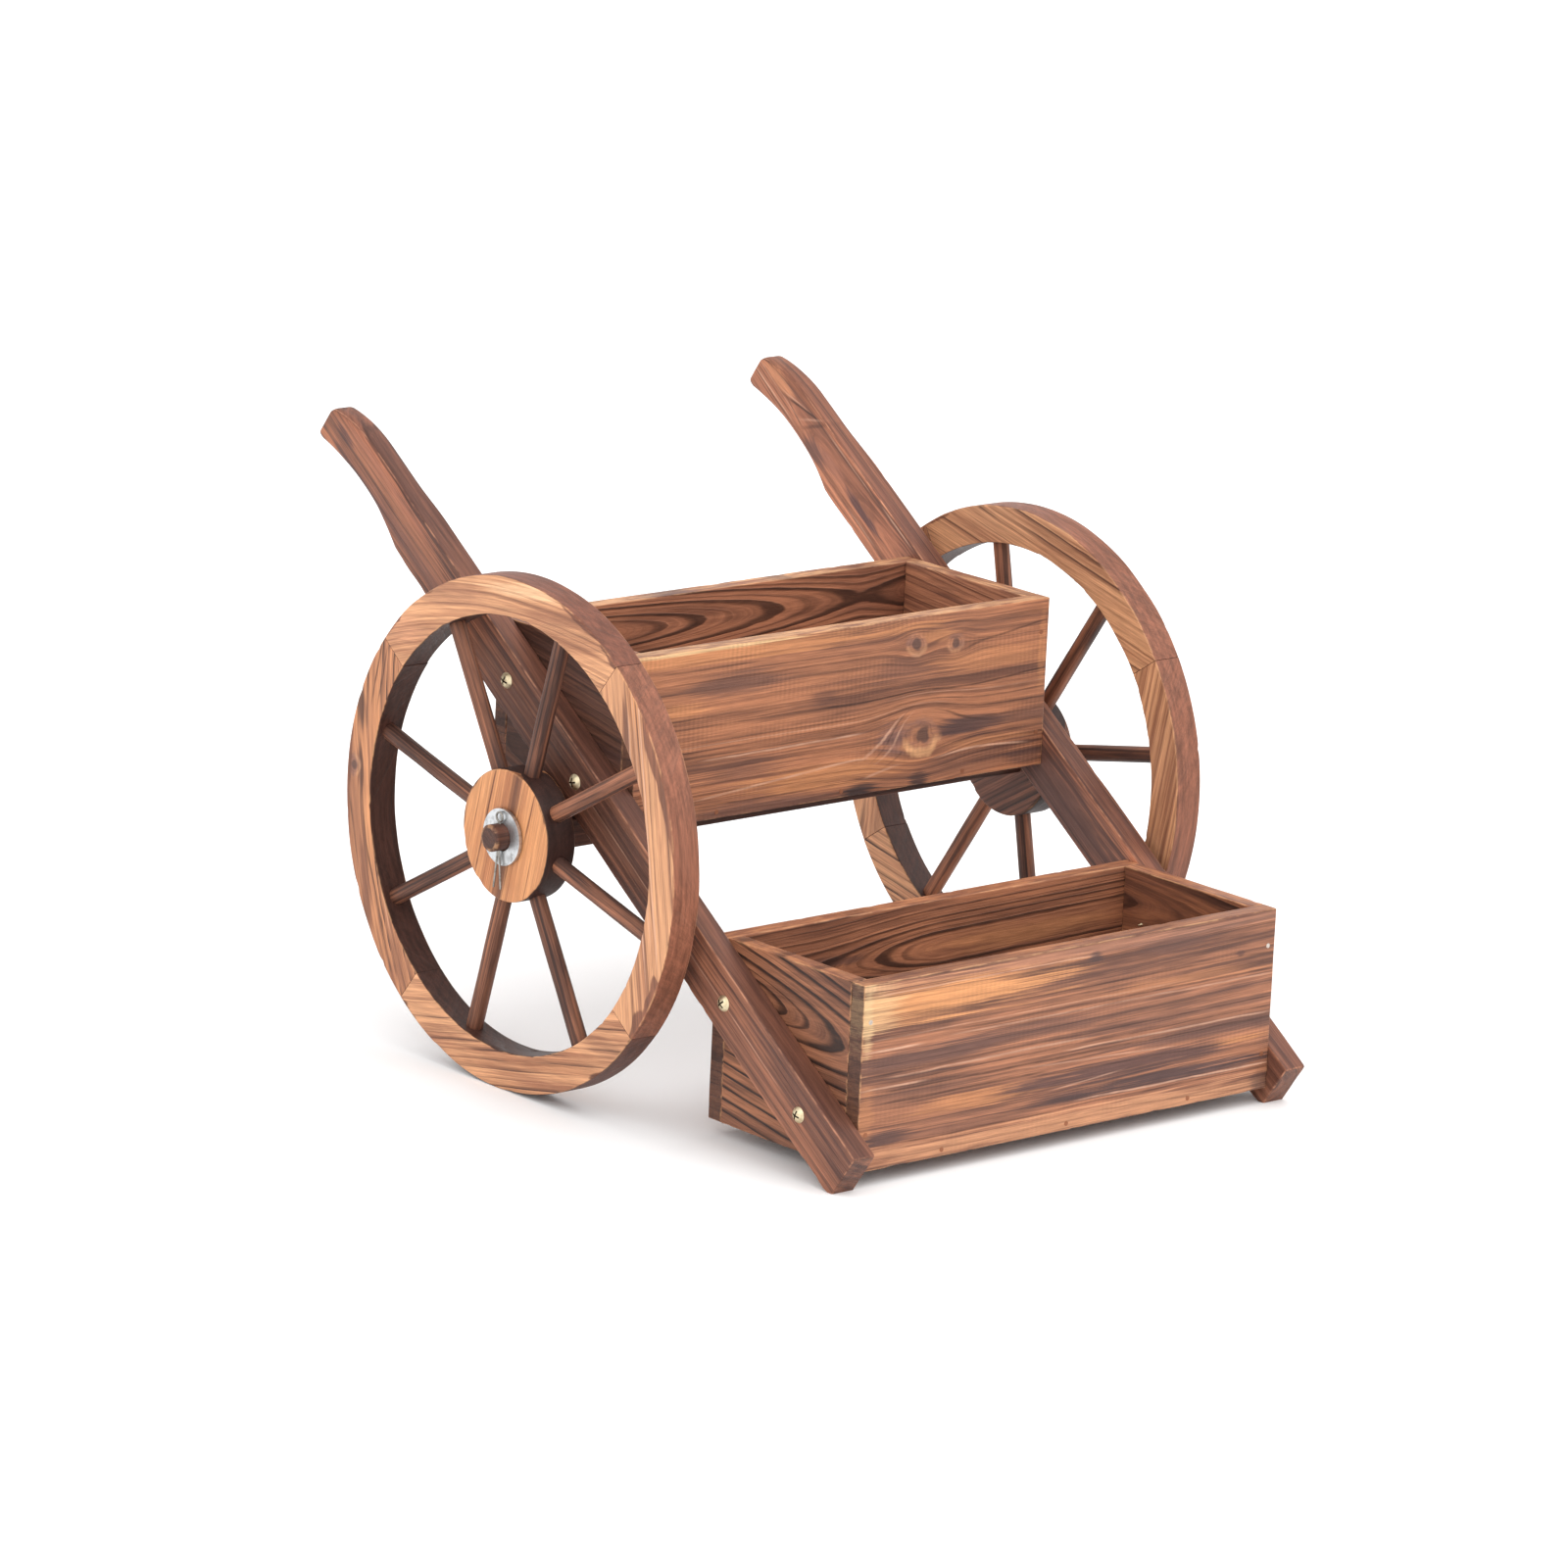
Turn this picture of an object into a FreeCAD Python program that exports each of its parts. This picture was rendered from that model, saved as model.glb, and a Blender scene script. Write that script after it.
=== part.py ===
import FreeCAD, Part
import math
import os
from FreeCAD import Vector, Placement, Rotation, Matrix

# Two-tier wooden flower cart stand.
# Frame: +Z up, floor at z = 0, -Y is the front (lower tier), +Y is the handle
# side, X runs along the axle.  The origin is on the floor, in the middle of the
# bounding box.  Left (-X) and right (+X) are as seen from the front.

doc = FreeCAD.newDocument("flower_cart_stand")

# ------------------------------------------------------------------ sizes, mm
sheet = doc.addObject("Spreadsheet::Sheet", "Sheet")
SIZES = [
    # alias, value, what it is
    ("axleY", 34.913, "axle centre behind the origin, so that the box is centred"),
    ("wheelRadius", 190, "outer radius of the wheels = axle height"),
    ("rimInner", 161, "inner radius of the rim"),
    ("rimThick", 24, "rim thickness along the axle"),
    ("wheelMid", 244, "middle of each wheel along X"),
    ("hubRadius", 49, "outer radius of the hub block"),
    ("hubThick", 26, "hub thickness along the axle"),
    ("hubBore", 10.1, "bore radius, running fit on the axle end"),
    ("spokeRadius", 6.5, "spoke dowel radius"),
    ("spokeInner", 36, "inner end of a spoke, from the axle"),
    ("spokeOuter", 172, "outer end of a spoke, from the axle"),
    ("spokeCount", 8, "spokes per wheel"),
    ("leftTurn", 15.5, "angle of the first spoke of the left wheel"),
    ("rightTurn", 34, "angle of the first spoke of the right wheel"),
    ("beamLength", 460, "square part of the axle beam"),
    ("beamDepth", 40, "axle beam, front to back"),
    ("beamHeight", 22, "axle beam, top to bottom"),
    ("axleRadius", 10, "turned round ends of the beam"),
    ("axleLength", 544, "axle beam over its round ends"),
    ("washerRadius", 21, "steel washer, outside"),
    ("washerBore", 10.5, "steel washer, hole radius"),
    ("washerThick", 2.5, "steel washer, thickness"),
    ("washerX", 258, "inner face of the washer along X"),
    ("pinX", 262.6, "split pin, centre along X"),
    ("pinHole", 1.75, "split pin hole radius"),
    ("pinWire", 0.8, "split pin, radius of each leg"),
    ("railLength", 753, "side rail, foot corner to handle end"),
    ("railWidth", 42, "side rail, width"),
    ("railThick", 20, "side rail, thickness"),
    ("railAngle", 35.3, "slope of the side rails, degrees"),
    ("footFlat", 8, "length of the level flat sawn on the foot"),
    ("railLift", 39.5, "rail underside above the axle centre, over the axle"),
    ("gripRadius", 200, "radius of the grip's scooped underside"),
    ("gripAlong", 690, "middle of the scoop, from the foot corner"),
    ("gripDeep", 8, "depth of the scoop"),
    ("noseRadius", 123, "radius that rounds the top of the handle end"),
    ("noseAlong", 696, "where the rounding starts"),
    ("noseSoft", 3, "rounded corners of the handle end"),
    ("boxLength", 400, "planter boxes, outside length"),
    ("boxDepth", 162, "planter boxes, outside depth"),
    ("board", 14, "thickness of the box boards"),
    ("floorBoard", 10, "thickness of the box bottoms"),
    ("lowerHeight", 137, "lower box, height"),
    ("upperHeight", 129, "upper box, height"),
    ("lowerFront", 334, "front face of the lower box ahead of the axle"),
    ("upperFront", 74, "front face of the upper box ahead of the axle"),
    ("lowerRise", 12, "underside of the lower box above the floor"),
    ("screwA", 60, "rail screw, lower box front, from the foot corner"),
    ("screwB", 165, "rail screw, lower box back"),
    ("screwC", 379, "rail screw, upper box front"),
    ("screwD", 480, "rail screw, upper box back"),
    ("screwRadius", 2.5, "rail screw, thread radius"),
    ("screwClear", 2.8, "clearance hole in the rail"),
    ("screwPilot", 1.8, "pilot hole in the box end board"),
    ("screwLength", 37, "rail screw, below the head"),
    ("screwHead", 6, "rail screw, head radius"),
    ("screwDome", 3.4, "rail screw, head height"),
    ("beamScrewX1", 70, "inner beam screws along X"),
    ("beamScrewX2", 160, "outer beam screws along X"),
    ("beamScrewLength", 28, "beam screw, overall"),
    ("nailRadius", 0.9, "box nail, shank radius"),
    ("nailHead", 1.8, "box nail, head radius"),
    ("nailLength", 32, "box nail, overall"),
]
for i, (alias, value, note) in enumerate(SIZES, start=1):
    sheet.set("A%d" % i, note)
    sheet.set("B%d" % i, str(value))
    sheet.setAlias("B%d" % i, alias)
doc.recompute()


def S(alias):
    return float(sheet.get(alias))


def E(text):
    """Turn bare aliases into spreadsheet references."""
    out = []
    word = ""
    for ch in text + " ":
        if ch.isalnum() or ch == "_":
            word += ch
        else:
            if word:
                out.append("Sheet." + word if word in ALIASES else word)
            word = ""
            out.append(ch)
    return "".join(out).strip()


ALIASES = set(a for a, v, n in SIZES)
NODES = []


def plane(body, role):
    for f in body.Origin.OriginFeatures:
        if f.Role == role:
            return f
    raise RuntimeError(role)


def new_body(label):
    body = doc.addObject("PartDesign::Body", label)
    body.Label = label
    return body


def new_sketch(body, name, role="XY_Plane"):
    sk = body.newObject("Sketcher::SketchObject", name)
    sk.AttachmentSupport = [(plane(body, role), "")]
    sk.MapMode = "FlatFace"
    return sk


import Sketcher

L, D, C = "DistanceX", "DistanceY", Sketcher.Constraint


def name_dim(sk, idx, name, expr):
    sk.renameConstraint(idx, name)
    sk.setExpression("Constraints." + name, E(expr))


def rect(sk, w, h, wexpr, hexpr, x0=None, y0=None):
    """A rectangle: centred on the sketch origin, or with its lower left
    corner at x0, y0 (value, expression)."""
    if x0 is None:
        ax, ay = -w / 2.0, -h / 2.0
    else:
        ax, ay = x0[0], y0[0]
    p = [Vector(ax, ay, 0), Vector(ax + w, ay, 0), Vector(ax + w, ay + h, 0), Vector(ax, ay + h, 0)]
    g = [sk.addGeometry(Part.LineSegment(p[k], p[(k + 1) % 4]), False) for k in range(4)]
    for k in range(4):
        sk.addConstraint(C("Coincident", g[k], 2, g[(k + 1) % 4], 1))
    sk.addConstraint(C("Horizontal", g[0]))
    sk.addConstraint(C("Horizontal", g[2]))
    sk.addConstraint(C("Vertical", g[1]))
    sk.addConstraint(C("Vertical", g[3]))
    c1 = sk.addConstraint(C(L, g[0], 1, g[0], 2, w))
    name_dim(sk, c1, "wide", wexpr)
    c2 = sk.addConstraint(C(D, g[1], 1, g[1], 2, h))
    name_dim(sk, c2, "high", hexpr)
    if x0 is None:
        sk.addConstraint(C("Symmetric", g[0], 1, g[2], 1, -1, 1))
    else:
        if x0[0] == 0 and y0[0] == 0:
            sk.addConstraint(C("Coincident", g[0], 1, -1, 1))
        else:
            c3 = sk.addConstraint(C(L, -1, 1, g[0], 1, ax))
            name_dim(sk, c3, "fromx", x0[1])
            c4 = sk.addConstraint(C(D, -1, 1, g[0], 1, ay))
            name_dim(sk, c4, "fromy", y0[1])
    return g


def circle(sk, x, y, r, xexpr, yexpr, rexpr, tag):
    g = sk.addGeometry(Part.Circle(Vector(x, y, 0), Vector(0, 0, 1), r), False)
    name_dim(sk, sk.addConstraint(C("Radius", g, r)), tag + "r", rexpr)
    if x == 0 and y == 0:
        sk.addConstraint(C("Coincident", g, 3, -1, 1))
        return g
    if x == 0:
        sk.addConstraint(C("PointOnObject", g, 3, -2))
    else:
        name_dim(sk, sk.addConstraint(C(L, -1, 1, g, 3, x)), tag + "x", xexpr)
    if y == 0:
        sk.addConstraint(C("PointOnObject", g, 3, -1))
    else:
        name_dim(sk, sk.addConstraint(C(D, -1, 1, g, 3, y)), tag + "y", yexpr)
    return g


def pad(body, sk, value, expr, name="Pad"):
    f = body.newObject("PartDesign::Pad", name)
    f.Profile = sk
    f.Length = value
    f.setExpression("Length", E(expr))
    return f


def cut_through(body, sk, name):
    """A pocket through everything on both sides of its sketch."""
    doc.recompute()
    before = body.Shape.Volume
    f = body.newObject("PartDesign::Pocket", name)
    f.Profile = sk
    f.Type = 1
    if hasattr(f, "SideType"):
        f.SideType = "Symmetric"
    else:
        f.Midplane = True
    doc.recompute()
    if not body.Shape.Volume < before - 1e-6:
        raise RuntimeError("pocket %s of %s cuts nothing" % (name, body.Label))
    return f


def node(obj, label, placement=None):
    obj.Label = label
    if placement is not None:
        obj.Placement = placement
    NODES.append((label, obj))
    return obj


# ------------------------------------------------------------ planter boxes
def floor_board(label, x, y, z, screws):
    """Bottom board; with countersunk holes where it is screwed to the beam."""
    b = new_body(label)
    sk = new_sketch(b, label + "_outline")
    rect(sk, S("boxLength") - 2 * S("board"), S("boxDepth") - 2 * S("board"),
         "boxLength - 2 * board", "boxDepth - 2 * board")
    pad(b, sk, S("floorBoard"), "floorBoard")
    if screws:
        off = S("boxDepth") / 2.0 - S("upperFront")
        for k, (a, sign) in enumerate((("beamScrewX2", -1), ("beamScrewX1", -1),
                                       ("beamScrewX1", 1), ("beamScrewX2", 1))):
            c = b.newObject("PartDesign::SubtractiveCylinder", "%s_hole%d" % (label, k))
            c.AttachmentSupport = [(plane(b, "XY_Plane"), "")]
            c.MapMode = "FlatFace"
            c.Radius = 2.2
            c.Height = S("floorBoard")
            c.setExpression("Height", E("floorBoard"))
            c.AttachmentOffset = Placement(Vector(sign * S(a), -off, 0), Rotation())
            k2 = b.newObject("PartDesign::SubtractiveCone", "%s_sink%d" % (label, k))
            k2.AttachmentSupport = [(plane(b, "XY_Plane"), "")]
            k2.MapMode = "FlatFace"
            k2.Radius1 = 2.0
            k2.Radius2 = 4.2
            k2.Height = 2.4
            k2.AttachmentOffset = Placement(Vector(sign * S(a), -off, S("floorBoard") - 2.4), Rotation())
    node(b, label, Placement(Vector(x, y, z), Rotation()))


def box(prefix, height, front, z0):
    """Five boards: long front and back over the ends, bottom set inside."""
    hv = S(height)
    y0 = S("axleY") - S(front)
    dep, brd, lng = S("boxDepth"), S("board"), S("boxLength")
    for which, yy in (("front", y0 + brd / 2.0), ("back", y0 + dep - brd / 2.0)):
        b = new_body("%s_%s_board" % (prefix, which))
        sk = new_sketch(b, "%s_%s_outline" % (prefix, which))
        rect(sk, lng, brd, "boxLength", "board")
        pad(b, sk, hv, height)
        node(b, b.Label, Placement(Vector(0, yy, z0), Rotation()))
    for which, sx in (("left", -1), ("right", 1)):
        b = new_body("%s_%s_end" % (prefix, which))
        sk = new_sketch(b, "%s_%s_end_outline" % (prefix, which))
        rect(sk, brd, dep - 2 * brd, "board", "boxDepth - 2 * board")
        pad(b, sk, hv, height)
        # pilot holes for the two rail screws that end in this board
        cy = y0 + dep / 2.0
        hs = new_sketch(b, "%s_%s_pilots" % (prefix, which), "YZ_Plane")
        for tag in (("screwA", "screwB") if prefix == "lower" else ("screwC", "screwD")):
            yy, zz = rail_point(S(tag), S("railWidth") / 2.0)
            g = hs.addGeometry(Part.Circle(Vector(yy - cy, zz - z0, 0), Vector(0, 0, 1), S("screwPilot")), False)
            name_dim(hs, hs.addConstraint(C("Radius", g, S("screwPilot"))), tag + "r", "screwPilot")
            hs.addConstraint(C(L, -1, 1, g, 3, yy - cy))
            hs.addConstraint(C(D, -1, 1, g, 3, zz - z0))
        cut_through(b, hs, "%s_%s_pilot_cut" % (prefix, which))
        node(b, b.Label, Placement(Vector(sx * (lng - brd) / 2.0, cy, z0), Rotation()))
    floor_board(prefix + "_bottom_board", 0, y0 + dep / 2.0, z0, prefix == "upper")


# --------------------------------------------------------------- side rails
TH = math.radians(S("railAngle"))
FLAT_A = S("footFlat") * math.cos(TH)      # along the rail
FLAT_B = S("footFlat") * math.sin(TH)      # across the rail
# the foot corner, before its flat is sawn, is this far under the floor
FOOT_Z = -FLAT_A * math.sin(TH)
# height of the rail's underside straight over the axle
RAIL_LINE_Z = S("wheelRadius") + S("railLift")
FOOT_Y = S("axleY") - (RAIL_LINE_Z - FOOT_Z) / math.tan(TH)


def rail_point(along, across):
    """(y, z) of a point given along and across the rail."""
    return (FOOT_Y + along * math.cos(TH) - across * math.sin(TH),
            FOOT_Z + along * math.sin(TH) + across * math.cos(TH))


def rail_placement(x0):
    m = Matrix(0, 0, 1, x0,
               math.cos(TH), -math.sin(TH), 0, FOOT_Y,
               math.sin(TH), math.cos(TH), 0, FOOT_Z,
               0, 0, 0, 1)
    return Placement(m)


def rail(label, x0):
    b = new_body(label)
    sk = new_sketch(b, label + "_plank")
    rect(sk, S("railLength"), S("railWidth"), "railLength", "railWidth", (0, "0"), (0, "0"))
    pad(b, sk, S("railThick"), "railThick")

    # the scooped underside of the grip
    g = new_sketch(b, label + "_scoop")
    circle(g, S("gripAlong"), S("gripDeep") - S("gripRadius"), S("gripRadius"),
           "gripAlong", "gripDeep - gripRadius", "gripRadius", "scoop")
    cut_through(b, g, label + "_scoop_cut")

    # the top of the handle end falls away on an arc
    n = new_sketch(b, label + "_nose")
    R, a0, w, ln = S("noseRadius"), S("noseAlong"), S("railWidth"), S("railLength")
    cx, cy = a0, w - R
    xe = ln + 10
    ye = cy + math.sqrt(R * R - (xe - cx) ** 2)
    arc = n.addGeometry(Part.ArcOfCircle(Part.Circle(Vector(cx, cy, 0), Vector(0, 0, 1), R),
                                         math.atan2(ye - cy, xe - cx), math.pi / 2), False)
    l1 = n.addGeometry(Part.LineSegment(Vector(a0, w, 0), Vector(a0, w + 15, 0)), False)
    l2 = n.addGeometry(Part.LineSegment(Vector(a0, w + 15, 0), Vector(xe, w + 15, 0)), False)
    l3 = n.addGeometry(Part.LineSegment(Vector(xe, w + 15, 0), Vector(xe, ye, 0)), False)
    n.addConstraint(C("Coincident", arc, 2, l1, 1))
    n.addConstraint(C("Coincident", l1, 2, l2, 1))
    n.addConstraint(C("Coincident", l2, 2, l3, 1))
    n.addConstraint(C("Coincident", l3, 2, arc, 1))
    n.addConstraint(C("Vertical", l1))
    n.addConstraint(C("Horizontal", l2))
    n.addConstraint(C("Vertical", l3))
    name_dim(n, n.addConstraint(C("Radius", arc, R)), "nose", "noseRadius")
    name_dim(n, n.addConstraint(C(L, -1, 1, arc, 3, cx)), "nosex", "noseAlong")
    name_dim(n, n.addConstraint(C(D, -1, 1, arc, 3, cy)), "nosey", "railWidth - noseRadius")
    name_dim(n, n.addConstraint(C(L, -1, 1, l1, 1, a0)), "startx", "noseAlong")
    name_dim(n, n.addConstraint(C(D, l1, 1, l1, 2, 15.0)), "above", "board + 1")
    name_dim(n, n.addConstraint(C(L, -1, 1, l3, 1, xe)), "endx", "railLength + 10")
    cut_through(b, n, label + "_nose_cut")

    # the level flat on the foot
    f = new_sketch(b, label + "_foot")
    p = [Vector(-5, -5, 0), Vector(FLAT_A + 5 / math.tan(TH), -5, 0), Vector(-5, FLAT_B + 5 * math.tan(TH), 0)]
    gg = [f.addGeometry(Part.LineSegment(p[k], p[(k + 1) % 3]), False) for k in range(3)]
    for k in range(3):
        f.addConstraint(C("Coincident", gg[k], 2, gg[(k + 1) % 3], 1))
    f.addConstraint(C("Horizontal", gg[0]))
    f.addConstraint(C("Vertical", gg[2]))
    f.addConstraint(C(L, gg[0], 1, -1, 1, 5.0))
    f.addConstraint(C(D, gg[0], 1, -1, 1, 5.0))
    name_dim(f, f.addConstraint(C(L, gg[0], 1, gg[0], 2, p[1].x + 5)), "flatx",
             "footFlat * cos(railAngle * 1deg) + 5 / tan(railAngle * 1deg) + 5")
    name_dim(f, f.addConstraint(C(D, gg[2], 2, gg[2], 1, p[2].y + 5)), "flaty",
             "footFlat * sin(railAngle * 1deg) + 5 * tan(railAngle * 1deg) + 5")
    cut_through(b, f, label + "_foot_cut")

    # clearance holes for the four round-head screws
    h = new_sketch(b, label + "_holes")
    for tag in ("screwA", "screwB", "screwC", "screwD"):
        circle(h, S(tag), S("railWidth") / 2.0, S("screwClear"), tag, "railWidth / 2", "screwClear", tag)
    cut_through(b, h, label + "_holes_cut")

    # soft corners at the handle end
    doc.recompute()
    names = []
    for i, e in enumerate(b.Shape.Edges, start=1):
        if len(e.Vertexes) == 2:
            u, v = e.Vertexes[0].Point, e.Vertexes[1].Point
            if abs(u.x - v.x) < 1e-4 and abs(u.y - v.y) < 1e-4 and u.x > ln - 0.01:
                names.append("Edge%d" % i)
    fl = b.newObject("PartDesign::Fillet", label + "_soft")
    fl.Base = (b.Tip if b.Tip != fl else fl.BaseFeature, names)
    fl.Radius = S("noseSoft")
    fl.setExpression("Radius", E("noseSoft"))
    node(b, label, rail_placement(x0))


rail("left_rail", -S("boxLength") / 2.0 - S("railThick"))
rail("right_rail", S("boxLength") / 2.0)

UPPER_Z = S("wheelRadius") + S("beamHeight") / 2.0
box("lower", "lowerHeight", "lowerFront", S("lowerRise"))
box("upper", "upperHeight", "upperFront", UPPER_Z)


# ---------------------------------------------------------------- axle beam
def beam():
    b = new_body("axle_beam")
    sk = new_sketch(b, "beam_section", "YZ_Plane")
    rect(sk, S("beamDepth"), S("beamHeight"), "beamDepth", "beamHeight")
    p = pad(b, sk, S("beamLength"), "beamLength", "BeamPad")
    if hasattr(p, "SideType"):
        p.SideType = "Symmetric"
    else:
        p.Midplane = True
    sk2 = new_sketch(b, "axle_section", "YZ_Plane")
    circle(sk2, 0, 0, S("axleRadius"), "0", "0", "axleRadius", "axle")
    p2 = pad(b, sk2, S("axleLength"), "axleLength", "AxlePad")
    if hasattr(p2, "SideType"):
        p2.SideType = "Symmetric"
    else:
        p2.Midplane = True
    # small chamfer on the two round ends
    doc.recompute()
    names = []
    for i, e in enumerate(b.Shape.Edges, start=1):
        if abs(abs(e.BoundBox.XMin) - S("axleLength") / 2) < 1e-3 and e.BoundBox.XLength < 1e-3:
            names.append("Edge%d" % i)
    ch = b.newObject("PartDesign::Chamfer", "AxleEnds")
    ch.Base = (p2, names)
    ch.Size = 1.2
    # split pin holes, straight down through the round ends
    hs = new_sketch(b, "pin_holes", "XY_Plane")
    circle(hs, -S("pinX"), 0, S("pinHole"), "-pinX", "0", "pinHole", "leftpin")
    circle(hs, S("pinX"), 0, S("pinHole"), "pinX", "0", "pinHole", "rightpin")
    cut_through(b, hs, "PinHoles")
    # pilot holes for the four screws that come down from the upper box
    for k, (a, sign) in enumerate((("beamScrewX2", -1), ("beamScrewX1", -1), ("beamScrewX1", 1), ("beamScrewX2", 1))):
        c = b.newObject("PartDesign::SubtractiveCylinder", "beam_pilot%d" % k)
        c.AttachmentSupport = [(plane(b, "XY_Plane"), "")]
        c.MapMode = "FlatFace"
        c.Radius = 1.5
        c.Height = 20
        c.AttachmentOffset = Placement(Vector(sign * S(a), 0, S("beamHeight") / 2 - 20), Rotation())
    node(b, "axle_beam", Placement(Vector(0, S("axleY"), S("wheelRadius")), Rotation()))


beam()


# ------------------------------------------------------------------- wheels
def wheel_frame(x, turn):
    """Wheel frame: local Z along world +X, local X at the given angle from
    +Y towards +Z."""
    a = math.radians(turn)
    m = Matrix(0, 0, 1, x,
               math.cos(a), -math.sin(a), 0, S("axleY"),
               math.sin(a), math.cos(a), 0, S("wheelRadius"),
               0, 0, 0, 1)
    return Placement(m)


def felloe(label, x, mid):
    """One quarter of the rim, with two blind sockets for its spokes."""
    b = new_body(label)
    sk = new_sketch(b, label + "_arc")
    ro, ri = S("wheelRadius"), S("rimInner")
    a0, a1 = -math.pi / 4, math.pi / 4
    cen = Vector(0, 0, 0)
    g0 = sk.addGeometry(Part.ArcOfCircle(Part.Circle(cen, Vector(0, 0, 1), ro), a0, a1), False)
    g1 = sk.addGeometry(Part.ArcOfCircle(Part.Circle(cen, Vector(0, 0, 1), ri), a0, a1), False)
    q = math.sqrt(0.5)
    g2 = sk.addGeometry(Part.LineSegment(Vector(ri * q, ri * q, 0), Vector(ro * q, ro * q, 0)), False)
    g3 = sk.addGeometry(Part.LineSegment(Vector(ri * q, -ri * q, 0), Vector(ro * q, -ro * q, 0)), False)
    sk.addConstraint(C("Coincident", g0, 3, -1, 1))
    sk.addConstraint(C("Coincident", g1, 3, -1, 1))
    sk.addConstraint(C("Coincident", g2, 1, g1, 2))
    sk.addConstraint(C("Coincident", g2, 2, g0, 2))
    sk.addConstraint(C("Coincident", g3, 1, g1, 1))
    sk.addConstraint(C("Coincident", g3, 2, g0, 1))
    sk.addConstraint(C("Angle", g2, math.pi / 4))
    sk.addConstraint(C("Angle", g3, -math.pi / 4))
    name_dim(sk, sk.addConstraint(C("Radius", g0, ro)), "outer", "wheelRadius")
    name_dim(sk, sk.addConstraint(C("Radius", g1, ri)), "inner", "rimInner")
    p = pad(b, sk, S("rimThick"), "rimThick")
    if hasattr(p, "SideType"):
        p.SideType = "Symmetric"
    else:
        p.Midplane = True
    doc.recompute()
    before = b.Shape.Volume
    half = 180.0 / S("spokeCount")
    for k, ang in enumerate((-half, half)):
        c = b.newObject("PartDesign::SubtractiveCylinder", "%s_socket%d" % (label, k))
        c.AttachmentSupport = [(plane(b, "XY_Plane"), "")]
        c.MapMode = "FlatFace"
        c.Radius = S("spokeRadius")
        c.setExpression("Radius", E("spokeRadius"))
        c.Height = S("spokeOuter") - ri + 20
        c.setExpression("Height", E("spokeOuter - rimInner + 20"))
        a = math.radians(ang)
        d = Vector(math.cos(a), math.sin(a), 0)
        c.AttachmentOffset = Placement(d * (ri - 20), Rotation(Vector(0, 0, 1), d))
    doc.recompute()
    if not b.Shape.Volume < before - 100:
        raise RuntimeError("no sockets in " + label)
    node(b, label, wheel_frame(x, mid))


def hub(label, x, turn):
    b = new_body(label)
    sk = new_sketch(b, label + "_disc")
    circle(sk, 0, 0, S("hubRadius"), "0", "0", "hubRadius", "rim")
    circle(sk, 0, 0, S("hubBore"), "0", "0", "hubBore", "bore")
    p = pad(b, sk, S("hubThick"), "hubThick")
    if hasattr(p, "SideType"):
        p.SideType = "Symmetric"
    else:
        p.Midplane = True
    doc.recompute()
    before = b.Shape.Volume
    c = b.newObject("PartDesign::SubtractiveCylinder", label + "_socket")
    c.AttachmentSupport = [(plane(b, "XY_Plane"), "")]
    c.MapMode = "FlatFace"
    c.Radius = S("spokeRadius")
    c.setExpression("Radius", E("spokeRadius"))
    c.Height = 30
    c.AttachmentOffset = Placement(Vector(S("spokeInner"), 0, 0), Rotation(Vector(0, 0, 1), Vector(1, 0, 0)))
    doc.recompute()
    pp = b.newObject("PartDesign::PolarPattern", label + "_sockets")
    pp.Originals = [c]
    zaxis = [f for f in b.Origin.OriginFeatures if f.Role == "Z_Axis"][0]
    pp.Axis = (zaxis, [""])
    pp.Angle = 360
    pp.Occurrences = int(S("spokeCount"))
    b.Tip = pp
    doc.recompute()
    one = math.pi * S("spokeRadius") ** 2 * (S("hubRadius") - S("spokeInner"))
    if not b.Shape.Volume < before - 6.5 * one:
        raise RuntimeError("sockets missing in " + label)
    node(b, label, wheel_frame(x, turn))


def spoke(label, x, turn):
    c = doc.addObject("Part::Cylinder", label)
    c.Radius = S("spokeRadius")
    c.setExpression("Radius", E("spokeRadius"))
    c.Height = S("spokeOuter") - S("spokeInner")
    c.setExpression("Height", E("spokeOuter - spokeInner"))
    base = wheel_frame(x, turn)
    node(c, label, base.multiply(Placement(Vector(S("spokeInner"), 0, 0), Rotation(Vector(0, 0, 1), Vector(1, 0, 0)))))


for side, sx, turn in (("left", -1, S("leftTurn")), ("right", 1, S("rightTurn"))):
    x = sx * S("wheelMid")
    step = 360.0 / S("spokeCount")
    for k, which in enumerate(("top", "front", "bottom", "rear")):
        felloe("%s_felloe_%s" % (side, which), x, turn + 1.5 * step + 90.0 * k)
    hub("%s_hub" % side, x, turn)
    for k in range(int(S("spokeCount"))):
        spoke("%s_spoke_%d" % (side, k + 1), x, turn + step * k)


# ----------------------------------------------------- washers, split pins
def washer(label, sx):
    b = new_body(label)
    sk = new_sketch(b, label + "_ring")
    circle(sk, 0, 0, S("washerRadius"), "0", "0", "washerRadius", "outer")
    circle(sk, 0, 0, S("washerBore"), "0", "0", "washerBore", "hole")
    pad(b, sk, S("washerThick"), "washerThick")
    x0 = S("washerX") if sx > 0 else -S("washerX") - S("washerThick")
    # it hangs on the axle, so its hole touches the top of the axle
    m = Matrix(0, 0, 1, x0, 1, 0, 0, S("axleY"), 0, 1, 0,
               S("wheelRadius") - (S("washerBore") - S("axleRadius")) + 0.05, 0, 0, 0, 1)
    node(b, label, Placement(m))


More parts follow.
